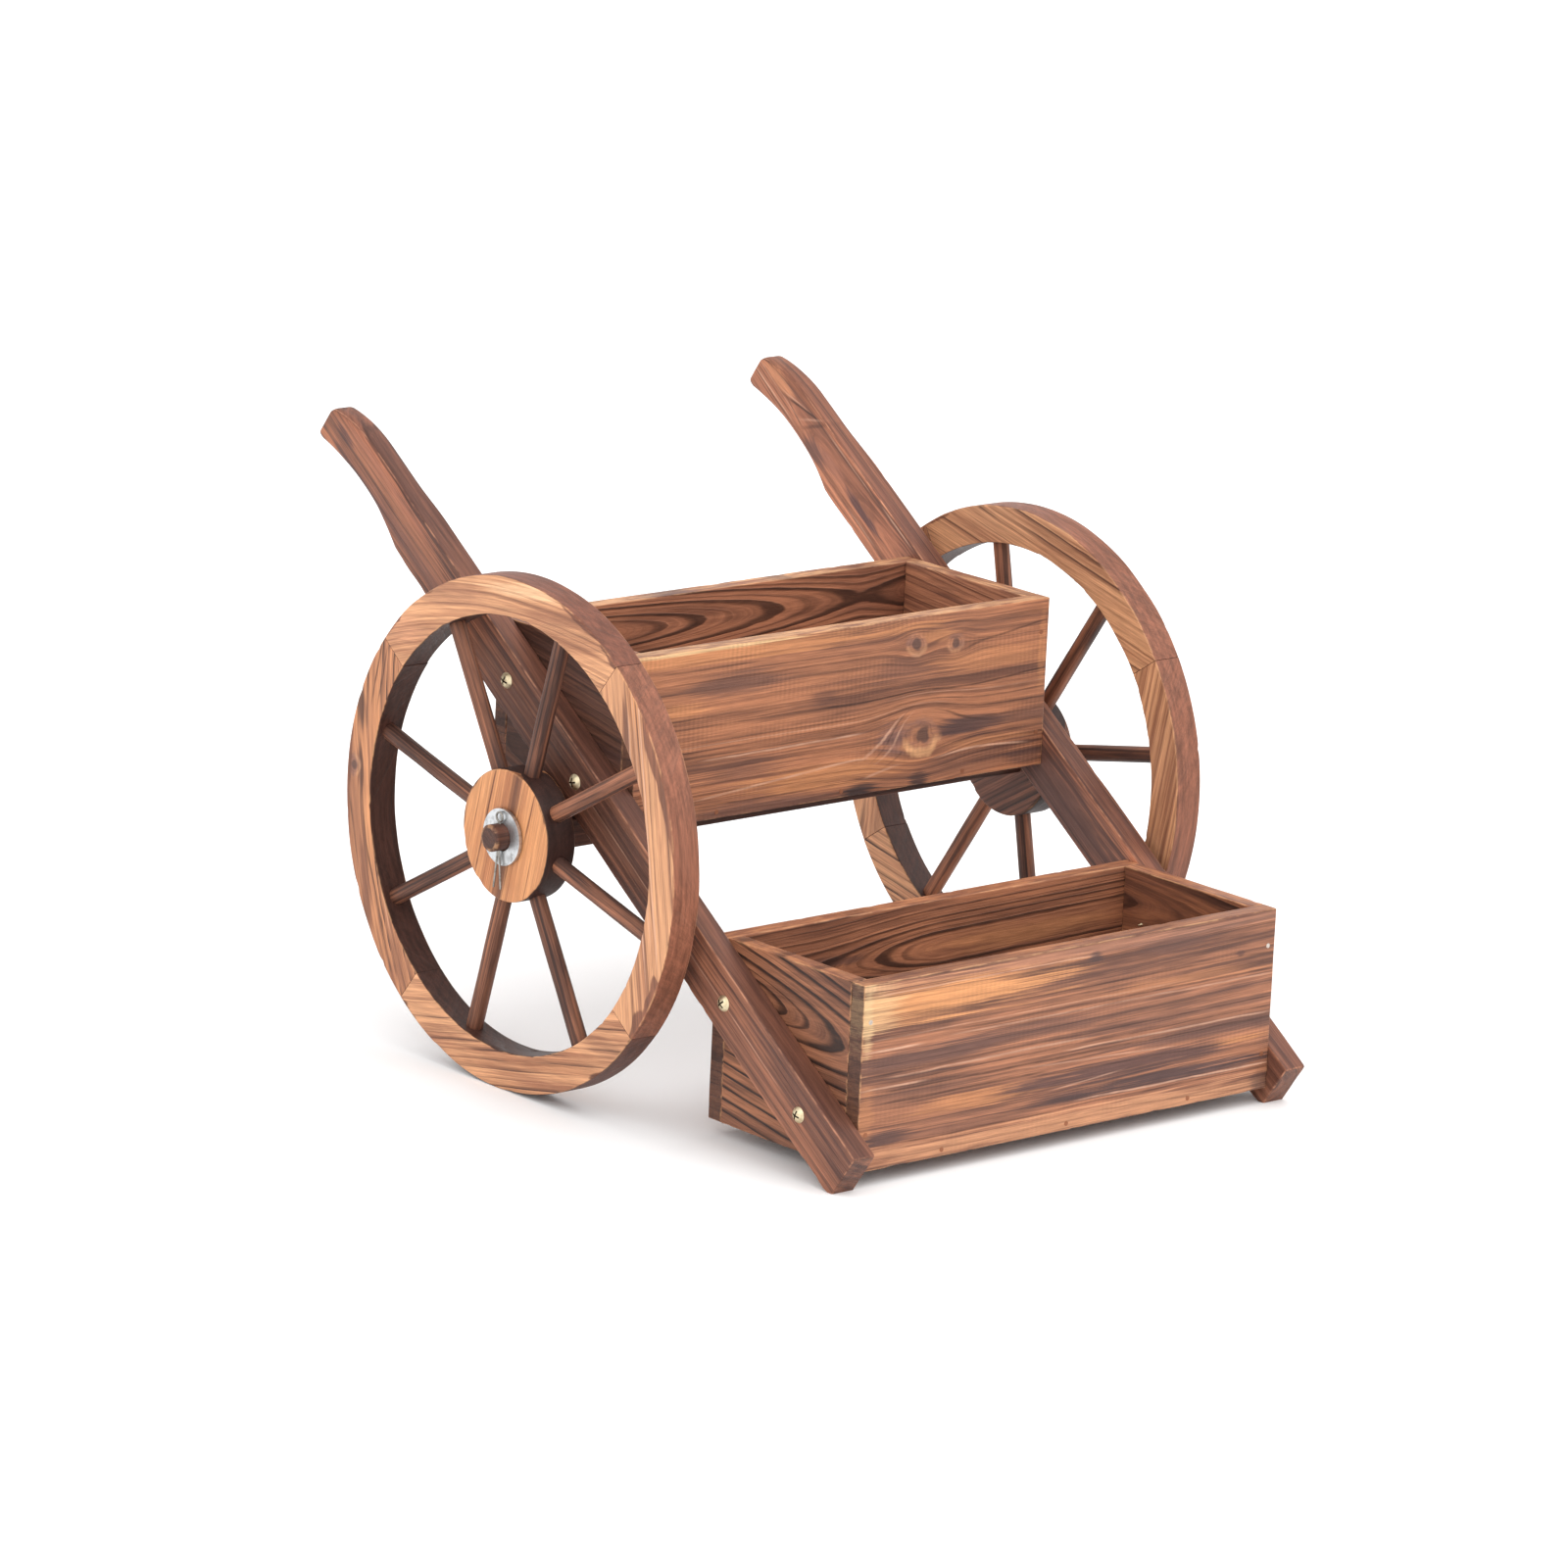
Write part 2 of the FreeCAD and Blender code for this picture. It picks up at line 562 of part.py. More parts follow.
def split_pin(label, sx):
    """One bent wire: an eye on top, two legs through the axle, ends spread."""
    w = S("pinWire")
    o = w + 0.03                       # each leg's centre off the middle
    top = S("axleRadius") + 1.6        # neck of the eye
    low = -S("axleRadius") - 1.5       # where the legs start to spread
    er = 3.4                           # radius of the eye's centre line
    ec = top + math.sqrt(er * er - o * o)
    # left leg up, round the eye, right leg down; in the (y, z) plane
    a = math.asin(o / er)
    edges = []
    bend = math.radians(7)

    def leg(sign):
        p_end = Vector(0, sign * (o + 27 * math.sin(bend)), low - 27 * math.cos(bend))
        p_low = Vector(0, sign * o, low)
        p_top = Vector(0, sign * o, top)
        return p_end, p_low, p_top

    e1, l1, t1 = leg(-1)
    e2, l2, t2 = leg(1)
    up = Vector(0, 0, ec + er)
    edges.append(Part.LineSegment(e1, l1).toShape())
    edges.append(Part.LineSegment(l1, t1).toShape())
    edges.append(Part.Arc(t1, up, t2).toShape())
    edges.append(Part.LineSegment(t2, l2).toShape())
    edges.append(Part.LineSegment(l2, e2).toShape())
    solids = []
    for e in edges:
        p0 = e.valueAt(e.FirstParameter)
        t0 = e.tangentAt(e.FirstParameter)
        prof = Part.Wire([Part.Circle(p0, t0, w).toShape()])
        solids.append(Part.Wire([e]).makePipeShell([prof], True, False))
    for p in (l1, t1, t2, l2):
        solids.append(Part.makeSphere(w, p))
    shape = solids[0].fuse(solids[1:])
    obj = doc.addObject("Part::Feature", label)
    obj.Shape = shape
    node(obj, label, Placement(Vector(sx * S("pinX"), S("axleY"), S("wheelRadius")), Rotation()))


for side, sx in (("left", -1), ("right", 1)):
    washer(side + "_washer", sx)
    split_pin(side + "_split_pin", sx)


# -------------------------------------------------------------- fasteners
def rail_screw_shape():
    """Round-head wood screw along +Z: head below z = 0, shank above."""
    r, ln, hr, hh = S("screwRadius"), S("screwLength"), S("screwHead"), S("screwDome")
    shank = Part.makeCylinder(r, ln - 6)
    tip = Part.makeCone(r, 0.3, 6, Vector(0, 0, ln - 6))
    # dome: a spherical cap of the head's radius and height
    R = (hr * hr + hh * hh) / (2 * hh)
    ball = Part.makeSphere(R, Vector(0, 0, R - hh))
    keep = Part.makeCylinder(hr + 1, hh + 1, Vector(0, 0, -hh - 1))
    dome = ball.common(keep)
    slot = Part.makeBox(7.0, 1.3, 1.6, Vector(-3.5, -0.65, -hh - 0.2))
    cross = Part.makeBox(1.3, 7.0, 1.6, Vector(-0.65, -3.5, -hh - 0.2))
    return dome.cut([slot, cross]).fuse([shank, tip])


def screw_group(label, sx):
    base = rail_screw_shape()
    out = []
    for i, tag in enumerate(("screwA", "screwB", "screwC", "screwD")):
        y, z = rail_point(S(tag), S("railWidth") / 2.0)
        s = base.copy()
        x = sx * (S("boxLength") / 2.0 + S("railThick"))
        turn = Rotation(Vector(0, 0, 1), 17 + 31 * i)
        s.Placement = Placement(Vector(x, y, z), Rotation(Vector(0, 0, 1), Vector(-sx, 0, 0)).multiply(turn))
        out.append(s)
    obj = doc.addObject("Part::Feature", label)
    obj.Shape = Part.makeCompound(out)
    node(obj, label, Placement())


screw_group("left_rail_screws", -1)
screw_group("right_rail_screws", 1)


def beam_screws():
    """Four countersunk screws from the upper box's bottom into the beam."""
    out = []
    top = UPPER_Z + S("floorBoard")
    ln = S("beamScrewLength")
    for a, sign in (("beamScrewX2", -1), ("beamScrewX1", -1), ("beamScrewX1", 1), ("beamScrewX2", 1)):
        x = sign * S(a)
        p = Vector(x, S("axleY"), top)
        head = Part.makeCone(2.0, 4.0, 2.2, Vector(x, S("axleY"), top - 2.3))
        shank = Part.makeCylinder(2.0, ln - 7, Vector(x, S("axleY"), top - ln + 5))
        tip = Part.makeCone(0.3, 2.0, 5, Vector(x, S("axleY"), top - ln))
        slot = Part.makeBox(5.0, 1.0, 1.0, Vector(x - 2.5, S("axleY") - 0.5, top - 1.0))
        cross = Part.makeBox(1.0, 5.0, 1.0, Vector(x - 0.5, S("axleY") - 2.5, top - 1.0))
        out.append(head.cut([slot, cross]).fuse([shank, tip]))
    obj = doc.addObject("Part::Feature", "beam_screws")
    obj.Shape = Part.makeCompound(out)
    node(obj, "beam_screws", Placement())


beam_screws()


def nails(prefix, height, front, z0):
    """Nails through the long boards into the ends and the bottom."""
    r, hr, ln = S("nailRadius"), S("nailHead"), S("nailLength")
    y0 = S("axleY") - S(front)
    hv = S(height)
    out = []
    spots = []
    for sx in (-1, 1):
        for f in (0.2, 0.8):
            spots.append((sx * (S("boxLength") - S("board")) / 2.0, z0 + hv * f))
    for x in (-120, 0, 120):
        spots.append((x, z0 + S("floorBoard") / 2.0))
    for x, z in spots:
        for yy, d in ((y0, 1), (y0 + S("boxDepth"), -1)):
            axis = Vector(0, d, 0)
            p = Vector(x, yy, z)
            head = Part.makeCylinder(hr, 0.9, p - axis * 0.15, axis)
            shank = Part.makeCylinder(r, ln - 4, p + axis * 0.5, axis)
            tip = Part.makeCone(r, 0.2, 3, p + axis * (ln - 3.5), axis)
            out.append(head.fuse([shank, tip]))
    label = prefix + "_box_nails"
    obj = doc.addObject("Part::Feature", label)
    obj.Shape = Part.makeCompound(out)
    node(obj, label, Placement())


nails("lower", "lowerHeight", "lowerFront", S("lowerRise"))
nails("upper", "upperHeight", "upperFront", UPPER_Z)

# ------------------------------------------------------------ check, write
doc.recompute()
for o in doc.Objects:
    bad = [s for s in o.State if s in ("Invalid", "Error")]
    if bad:
        raise RuntimeError("%s is %s" % (o.Label, bad))
total = None
for label, obj in NODES:
    sh = obj.Shape
    if sh.isNull() or not sh.isValid() or sh.Volume <= 0:
        raise RuntimeError("bad shape: " + label)
    if len(label) >= 60:
        raise RuntimeError("long name: " + label)
    bb = sh.BoundBox
    if total is None:
        total = FreeCAD.BoundBox(bb)
    else:
        total.add(bb)
if len(set(l for l, o in NODES)) != len(NODES) or len(NODES) > 60:
    raise RuntimeError("node names")

os.makedirs("parts", exist_ok=True)
for label, obj in NODES:
    obj.Shape.exportStep("parts/%s.step" % label)
print("nodes", len(NODES))
print("box x %.3f..%.3f y %.3f..%.3f z %.3f..%.3f" % (
    total.XMin, total.XMax, total.YMin, total.YMax, total.ZMin, total.ZMax))
print("y centre %.3f" % ((total.YMin + total.YMax) / 2))
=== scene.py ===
import bpy
import math
import numpy as np
from mathutils import Matrix, Vector


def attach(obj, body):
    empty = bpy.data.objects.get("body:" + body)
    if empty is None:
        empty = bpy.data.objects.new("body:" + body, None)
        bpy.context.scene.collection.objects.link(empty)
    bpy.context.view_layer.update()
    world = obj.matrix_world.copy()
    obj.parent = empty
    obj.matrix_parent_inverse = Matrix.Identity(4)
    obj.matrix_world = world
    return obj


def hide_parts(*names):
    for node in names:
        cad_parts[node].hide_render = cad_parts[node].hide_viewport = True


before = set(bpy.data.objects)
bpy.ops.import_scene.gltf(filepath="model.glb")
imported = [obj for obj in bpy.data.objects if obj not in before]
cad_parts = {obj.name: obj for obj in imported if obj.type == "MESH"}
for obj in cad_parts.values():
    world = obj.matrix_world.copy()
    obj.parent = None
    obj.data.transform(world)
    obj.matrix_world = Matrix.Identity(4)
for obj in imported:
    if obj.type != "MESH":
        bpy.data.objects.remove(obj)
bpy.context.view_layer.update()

MM = 0.001
AXLE = (34.913, 190.0)                       # axle centre (y, z), mm
TH = math.radians(35.3)                      # slope of the side rails
FOOT_A, FOOT_B = 8 * math.cos(TH), 8 * math.sin(TH)
FOOT_Z = -FOOT_A * math.sin(TH)
FOOT_Y = AXLE[0] - (AXLE[1] + 39.5 - FOOT_Z) / math.tan(TH)


# ------------------------------------------------------------------ helpers
def lin(c):
    """sRGB 0..255 to scene linear."""
    out = []
    for v in c:
        v = v / 255.0
        out.append(v / 12.92 if v <= 0.04045 else ((v + 0.055) / 1.055) ** 2.4)
    return tuple(out) + (1.0,)


def hashed(ix, iy, iz, seed):
    n = (ix * 374761393 + iy * 668265263 + iz * 1274126177 + seed * 974634777) & 0x7FFFFFFF
    n = ((n ^ (n >> 13)) * 1103515245 + 12345) & 0x7FFFFFFF
    n = ((n ^ (n >> 16)) * 668265263) & 0x7FFFFFFF
    return (n & 0xFFFFFF) / float(0xFFFFFF)


def vnoise(p, seed):
    """Smooth value noise, 0..1, for rows of points given in cells."""
    i = np.floor(p).astype(np.int64)
    f = p - i
    f = f * f * (3 - 2 * f)
    out = 0
    for dx in (0, 1):
        for dy in (0, 1):
            for dz in (0, 1):
                w = ((f[:, 0] if dx else 1 - f[:, 0]) * (f[:, 1] if dy else 1 - f[:, 1])
                     * (f[:, 2] if dz else 1 - f[:, 2]))
                out = out + w * hashed(i[:, 0] + dx, i[:, 1] + dy, i[:, 2] + dz, seed)
    return out


def step(x, a, b):
    t = np.clip((x - a) / (b - a), 0, 1)
    return t * t * (3 - 2 * t)


EDGE = (0.0, 0.22, 0.5, 0.85, 1.3, 2.0, 3.0, 4.4)


def samples(a, b, pitch, edge=EDGE):
    """Positions from a to b, close together at both ends."""
    length = b - a
    e = [x for x in edge if x < 0.46 * length]
    mid = length - 2 * e[-1]
    n = max(1, int(round(mid / pitch)))
    inner = [e[-1] + mid * k / n for k in range(1, n)]
    return a + np.array(e + inner + [length - x for x in reversed(e)])


def grid_box(xs, ys, zs):
    nx, ny, nz = len(xs), len(ys), len(zs)
    m = np.zeros((nx, ny, nz), bool)
    m[[0, -1]] = 1
    m[:, [0, -1]] = 1
    m[:, :, [0, -1]] = 1
    idx = -np.ones(m.shape, int)
    idx[m] = np.arange(m.sum())
    i, j, k = np.nonzero(m)
    p = np.stack([xs[i], ys[j], zs[k]], 1)
    quads = []

    def face(a, flip):
        q = np.stack([a[:-1, :-1], a[1:, :-1], a[1:, 1:], a[:-1, 1:]], -1).reshape(-1, 4)
        quads.append(q[:, ::-1] if flip else q)

    face(idx[:, :, 0], True)
    face(idx[:, :, -1], False)
    face(idx[:, 0, :], False)
    face(idx[:, -1, :], True)
    face(idx[0], True)
    face(idx[-1], False)
    return p, np.concatenate(quads)


def edge_distance(p, lo, hi):
    """How far each surface point of a box is from the nearest edge."""
    d = np.sort(np.minimum(p - lo, hi - p), 1)
    return np.maximum(d[:, 1], 0)


def worn(p, lo, hi, r0, seed, chip=1.6, often=0.72, scale=9.0, most=4.2, axes=(1.0, 1.0, 1.0)):
    """Round the box's edges by a radius that wanders, with small chips."""
    r = r0 * (0.65 + 0.75 * vnoise(p / 26.0, seed))
    r = r + chip * step(vnoise(p / scale, seed + 1), often, often + 0.16)
    r = np.minimum(r, most)
    r = np.minimum(r[:, None] * np.array(axes)[None, :], 0.48 * (hi - lo)[None, :])
    q = np.clip(p, lo + r, hi - r)
    d = p - q
    n = np.abs(d)
    rr = np.max(np.where(n > 1e-9, r, 0), axis=1, keepdims=True)
    length = np.linalg.norm(d / np.maximum(r, 1e-9), axis=1, keepdims=True)
    return q + d / np.maximum(length, 1e-9), rr[:, 0]


def piece(name, pts, faces, local, edge, body, nodes, mat, smooth=True):
    """A mesh object from points in mm, with wood coordinates and edge wear."""
    me = bpy.data.meshes.new(name)
    pts = np.asarray(pts, float) * MM
    if isinstance(faces, np.ndarray):
        faces = faces.tolist()
    me.from_pydata(pts.tolist(), [], faces)
    me.update()
    me.validate()
    a = me.attributes.new("wp", "FLOAT_VECTOR", "POINT")
    a.data.foreach_set("vector", np.asarray(local, np.float32).ravel())
    e = me.attributes.new("we", "FLOAT", "POINT")
    e.data.foreach_set("value", np.minimum(np.asarray(edge, float), 14.0).astype(np.float32))
    ob = bpy.data.objects.new(name, me)
    bpy.context.scene.collection.objects.link(ob)
    me.polygons.foreach_set("use_smooth", [smooth] * len(me.polygons))
    me.materials.append(mat)
    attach(ob, body)
    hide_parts(*nodes)
    return ob


def set_local_normals(ob, eL, eA, eD):
    """The face direction in the wood's own axes, for faces, edges and ends."""
    me = ob.data
    n = np.zeros(len(me.vertices) * 3, np.float32)
    me.vertex_normals.foreach_get("vector", n)
    n = n.reshape(-1, 3).astype(float)
    m = np.array([eL, eA, eD], float)
    out = n @ m.T
    a = me.attributes.new("wn", "FLOAT_VECTOR", "POINT")
    a.data.foreach_set("vector", out.astype(np.float32).ravel())


# ---------------------------------------------------------------- materials
class Tree:
    """Short names for shader nodes."""

    def __init__(self, mat):
        self.t = mat.node_tree
        self.t.nodes.clear()

    def node(self, kind, **props):
        n = self.t.nodes.new(kind)
        for k, v in props.items():
            if getattr(n, k) != v:
                setattr(n, k, v)
        return n

    def fix(self, socket, value):
        if isinstance(value, (int, float)) and abs(socket.default_value - value) < 1e-9:
            return
        socket.default_value = value

    def put(self, socket, value):
        if isinstance(value, bpy.types.NodeSocket):
            self.t.links.new(value, socket)
        elif value is not None:
            self.fix(socket, value)

    def m(self, op, a, b=None, c=None, clamp=False):
        n = self.node("ShaderNodeMath", operation=op, use_clamp=clamp)
        for s, v in zip(n.inputs, (a, b, c)):
            self.put(s, v)
        return n.outputs[0]

    def add(self, a, b):
        return self.m("ADD", a, b)

    def sub(self, a, b):
        return self.m("SUBTRACT", a, b)

    def mul(self, a, b, clamp=False):
        return self.m("MULTIPLY", a, b, clamp=clamp)

    def mad(self, a, b, c, clamp=False):
        return self.m("MULTIPLY_ADD", a, b, c, clamp=clamp)

    def ramp01(self, v, a, b, lo=0.0, hi=1.0, smooth=True):
        n = self.node("ShaderNodeMapRange", interpolation_type="SMOOTHSTEP" if smooth else "LINEAR", clamp=True)
        self.put(n.inputs[0], v)
        for i, k in ((1, a), (2, b), (3, lo), (4, hi)):
            self.fix(n.inputs[i], k)
        return n.outputs[0]

    def xyz(self, x, y, z):
        n = self.node("ShaderNodeCombineXYZ")
        for s, v in zip(n.inputs, (x, y, z)):
            self.put(s, v)
        return n.outputs[0]

    def split(self, v):
        n = self.node("ShaderNodeSeparateXYZ")
        self.put(n.inputs[0], v)
        return n.outputs

    def scaled(self, v, s, shift=(0, 0, 0)):
        n = self.node("ShaderNodeVectorMath", operation="MULTIPLY_ADD")
        self.put(n.inputs[0], v)
        n.inputs[1].default_value = s
        n.inputs[2].default_value = shift
        return n.outputs[0]

    def noise(self, v, scale, seed=0.0, detail=2.0, rough=0.5, distort=0.0):
        s = scale if isinstance(scale, (tuple, list)) else (scale,) * 3
        n = self.node("ShaderNodeTexNoise", noise_dimensions="3D")
        self.put(n.inputs["Vector"], self.scaled(v, s, (seed * 1.37, seed * 2.11 + 5, seed * 0.77 + 9)))
        for k, v in (("Scale", 1.0), ("Detail", detail), ("Roughness", rough), ("Distortion", distort)):
            self.fix(n.inputs[k], v)
        return n.outputs[0]

    def curve(self, v, stops, interp="EASE"):
        n = self.node("ShaderNodeValToRGB")
        n.color_ramp.interpolation = interp
        while len(n.color_ramp.elements) < len(stops):
            n.color_ramp.elements.new(0.5)
        for el, (pos, val) in zip(n.color_ramp.elements, stops):
            el.position = pos
            el.color = val if isinstance(val, tuple) else (val, val, val, 1)
        self.put(n.inputs[0], v)
        return n.outputs[0]

    def mix(self, f, a, b, kind="MIX"):
        n = self.node("ShaderNodeMix", data_type="RGBA", blend_type=kind)
        self.put(n.inputs[0], f)
        self.put(n.inputs[6], a)
        self.put(n.inputs[7], b)
        return n.outputs[2]

    def attr(self, name):
        return self.node("ShaderNodeAttribute", attribute_name=name)


PALE = lin((228, 172, 124))
LIGHT = lin((204, 138, 96))
MID = lin((134, 86, 65))
BROWN = lin((118, 76, 60))
DARK = lin((62, 39, 31))
BURNT = lin((46, 31, 29))
SMOKE = lin((92, 62, 56))
PLUM = lin((112, 74, 62))


def wood(name, seed, spacing=6.0, pith=(60.0, 30.0), depth=None, slope=0.0, tilt=0.0, bow=0.0, warp=3.0,
         line=0.9, width=0.3, rare=0.25, weak=0.35, jit=1.5, rings=(), marks=(), tone=0.5, early=LIGHT, late=MID,
         dark=DARK, burn=0.35, burn_col=SMOKE, knots=(), patches=(), side=0.55, tread=PLUM, inside=None, end=0.8,
         fibre=1.0, grain=1.0, wear=0.45, wear_col=PALE, chatter=0.0, bump=1.0, rough=0.52, checks=0.0, top=None,
         bright=1.0, rim_burn=0.0, rim_low=0.47, creep_from=172.0, contrast=1.2,
         calm=0.40):
    """Scorched and brushed fir. Lengths in mm in the piece's own axes: along
    the grain, across the face, and down into the board. rings are (radius,
    half width, strength), marks are (L, A, L, A, half width, strength) and
    patches are (L, A, half length, half height, strength, colour)."""
    mat = bpy.data.materials.new(name)
    mat.use_nodes = True
    t = Tree(mat)
    wp = t.attr("wp").outputs["Vector"]
    wn = t.split(t.attr("wn").outputs["Vector"])
    wd = t.attr("we").outputs["Fac"]            # mm from the nearest edge
    we = t.m("EXPONENT", t.mul(wd, -1 / 1.5))
    l0, a0, d0 = t.split(wp)

    # grain runs round the knots
    l, a, d = l0, a0, d0
    knot_mask, knot_ring, knot_core, knot_low = None, None, None, None
    for kl, ka, kr, stretch, lit in knots:
        dl = t.sub(l0, kl)
        da = t.sub(a0, ka)
        dls = t.mul(dl, 1 / stretch)
        q = t.add(t.mul(dls, dls), t.mul(da, da))
        g = t.m("EXPONENT", t.mul(q, -1.0 / (1.5 * kr) ** 2))
        a = t.sub(a, t.mul(da, t.mul(g, 0.9)))
        wob = t.mul(t.sub(t.noise(wp, 0.10, seed + kl, 3.0), 0.5), kr * 0.7)
        dist = t.add(t.m("SQRT", t.add(t.mul(t.mul(dl, dl), 0.72), t.mul(da, da))), wob)
        mask = t.ramp01(dist, kr * 1.10, kr * 0.80)
        ring = t.curve(t.m("FRACT", t.mul(dist, 1.0 / (0.36 * kr))), [(0.0, 0.0), (0.45, 0.25), (0.8, 1.0), (1.0, 0.0)])
        cl = t.add(dl, -0.10 * kr * lit)
        ca = t.add(da, -0.08 * kr * lit)
        cdist = t.add(t.m("SQRT", t.add(t.mul(t.mul(cl, cl), 1.0), t.mul(ca, ca))), wob)
        core = t.ramp01(cdist, kr * (0.66 - 0.20 * lit), kr * (0.36 - 0.12 * lit))
        low = t.mul(t.ramp01(da, 0.20 * kr, -0.45 * kr), t.mul(t.ramp01(dist, kr * 0.42, kr * 0.72), t.ramp01(dist, kr * 1.12, kr * 0.90)))
        low = t.mul(low, lit)
        parts = (mask, t.mul(ring, mask), core, low)
        if knot_mask is None:
            knot_mask, knot_ring, knot_core, knot_low = parts
        else:
            knot_mask, knot_ring, knot_core, knot_low = [
                t.m("MAXIMUM", u, v) for u, v in zip((knot_mask, knot_ring, knot_core, knot_low), parts)]

    # growth rings round a pith that wanders
    w1 = t.noise(wp, (0.0042, 0.013, 0.013), seed, 2.0, 0.5)
    w2 = t.noise(wp, (0.013, 0.055, 0.055), seed + 3, 2.0, 0.5)
    w3 = t.noise(wp, (0.045, 0.20, 0.20), seed + 5, 2.0, 0.5)
    ac = t.sub(a, pith[0])
    if tilt:
        ac = t.add(ac, t.mul(l, -tilt))
    if bow:
        lm = t.sub(l, pith[2] if len(pith) > 2 else 0.0)
        ac = t.add(ac, t.mul(t.mul(lm, lm), bow))
    if depth is not None:
        dc = depth(t, l)
    else:
        dc = t.mad(l, slope, t.add(d, pith[1])) if slope else t.add(d, pith[1])
    r = t.m("SQRT", t.add(t.mul(ac, ac), t.mul(dc, dc)))
    r = t.add(r, t.mul(t.sub(w1, 0.5), 2.0 * warp))
    r = t.add(r, t.mul(t.sub(w2, 0.5), 0.8 * warp))
    r = t.add(r, t.mul(t.sub(w3, 0.5), 0.7))
    # ring widths vary
    nw = t.node("ShaderNodeTexNoise", noise_dimensions="1D")
    t.put(nw.inputs["W"], t.mad(r, 0.36 / spacing, seed * 0.61))
    nw.inputs["Scale"].default_value = 1.0
    nw.inputs["Detail"].default_value = 1.0
    phase = t.add(t.mul(r, 1.0 / spacing), t.mul(t.sub(nw.outputs[0], 0.5), jit))
    f = t.m("FRACT", phase)
    ident = t.m("FLOOR", phase)
    wh = t.node("ShaderNodeTexWhiteNoise", noise_dimensions="1D")
    t.put(wh.inputs["W"], t.mad(ident, 1.0, seed * 3.7))
    each = wh.outputs["Value"]
    lateness = t.curve(f, [(0.0, 0.0), (max(0.05, 0.86 - width), 0.02), (0.82, 0.55), (0.92, 1.0), (0.985, 0.9), (1.0, 0.0)])
    soft = t.curve(f, [(0.0, 0.0), (0.35, 0.10), (0.9, 1.0), (1.0, 0.05)])
    fade = t.ramp01(t.noise(wp, (0.007, 0.12, 0.12), seed + 11, 3.0), 0.30 + 0.25 * (0.40 - calm), 0.60, calm, 1.0)
    late_m = t.mul(t.mul(lateness, fade), t.ramp01(each, rare, min(1.0, rare + 0.45), weak, 1.0), clamp=True)

    # broad tone, scorching and fibres; the finest streaks follow the rings
    rv = t.xyz(l, r, d)
    n_tone = t.noise(wp, (0.0055, 0.045, 0.045), seed + 17, 3.0, 0.6)
    n_burn = t.noise(wp, (0.0065, 0.070, 0.070), seed + 23, 4.0, 0.62)
    n_fib = t.noise(wp, (0.018, 0.42, 0.42), seed + 29, 4.0, 0.66)
    n_fine = t.noise(wp, (0.055, 1.5, 1.5), seed + 31, 3.0, 0.6)
    n_mot = t.noise(wp, (0.035, 0.16, 0.16), seed + 37, 3.0, 0.6)
    n_grain = t.noise(rv, (0.0050, 0.34, 0.05), seed + 71, 4.0, 0.68)
    n_thin = t.noise(rv, (0.011, 1.05, 0.12), seed + 73, 3.0, 0.62)
    if rings:
        wide = t.mad(n_mot, 0.8, 0.6)
        for rr, hw, amount in rings:
            # soft on the inside, where the year's growth slows, sharp outside
            x = t.sub(r, rr)
            m1 = t.mul(t.ramp01(x, -1.9 * hw, -0.2 * hw, 0.0, 1.0), t.ramp01(x, hw, hw * 0.55))
            late_m = t.m("MAXIMUM", late_m, t.mul(t.mul(m1, amount), wide), clamp=True)

    tone_f = t.add(t.ramp01(n_tone, 0.34, 0.66, -0.36, 0.36), tone)
    tone_f = t.add(tone_f, t.mul(t.sub(each, 0.5), 0.30))
    tone_f = t.add(tone_f, t.mul(t.sub(soft, 0.4), 0.25))
    tone_f = t.add(tone_f, t.mul(t.sub(n_mot, 0.5), 0.6))
    tone_f = t.add(tone_f, t.mul(t.sub(n_grain, 0.5), 1.9 * grain))
    tone_f = t.add(tone_f, t.mul(t.sub(n_thin, 0.5), 0.9 * grain))
    bsrc = t.add(n_burn, t.add(t.mul(t.sub(n_fib, 0.5), 0.22), t.mul(t.sub(n_grain, 0.5), 0.20)))
    burn_f = t.ramp01(bsrc, 0.72 - 0.36 * burn, 0.92 - 0.36 * burn)

    tone_f = t.m("MINIMUM", t.m("MAXIMUM", tone_f, 0.0), 1.0)
    col = t.mix(tone_f, early, late)
    col = t.mix(t.mul(burn_f, t.mad(late_m, 0.30, 0.62), clamp=True), col, burn_col)
    if patches:
        pn1 = t.sub(t.noise(wp, (0.016, 0.09, 0.09), seed + 41, 3.0, 0.6), 0.5)
        pn2 = t.sub(t.noise(wp, (0.012, 0.16, 0.16), seed + 43, 3.0, 0.6), 0.5)
        gd = t.add(t.mul(t.sub(n_grain, 0.5), -2.2), t.mul(t.sub(n_thin, 0.5), -1.3))
        gl = t.mul(gd, -1.0)
        for patch in patches:
            pl, pa, rl, ra, amount = patch[:5]
            tint = patch[5] if len(patch) > 5 else (burn_col if amount > 0 else PALE)
            u = t.mad(l0, 1.0 / rl, -pl / rl)
            u = t.add(u, t.mul(pn1, 1.5))
            v = t.mad(a0, 1.0 / ra, -pa / ra)
            v = t.add(v, t.mul(pn2, 1.1))
            q = t.m("SQRT", t.add(t.mul(u, u), t.mul(v, v)))
            q = t.add(q, gd if amount > 0 else gl)
            e = t.ramp01(q, 1.35, 0.50)
            col = t.mix(t.mul(e, abs(amount), clamp=True), col, tint)
    col = t.mix(t.mul(late_m, line, clamp=True), col, dark)
    if marks:
        aw = t.add(a, t.add(t.mul(t.sub(w2, 0.5), 2.2), t.mul(t.sub(w3, 0.5), 0.8)))
        for la, aa, lb, ab, hw, amount in marks:
            k = (ab - aa) / (lb - la)
            x = t.m("ABSOLUTE", t.sub(aw, t.mad(l0, k, aa - k * la)))
            m1 = t.ramp01(x, hw * 1.35, hw * 0.25)
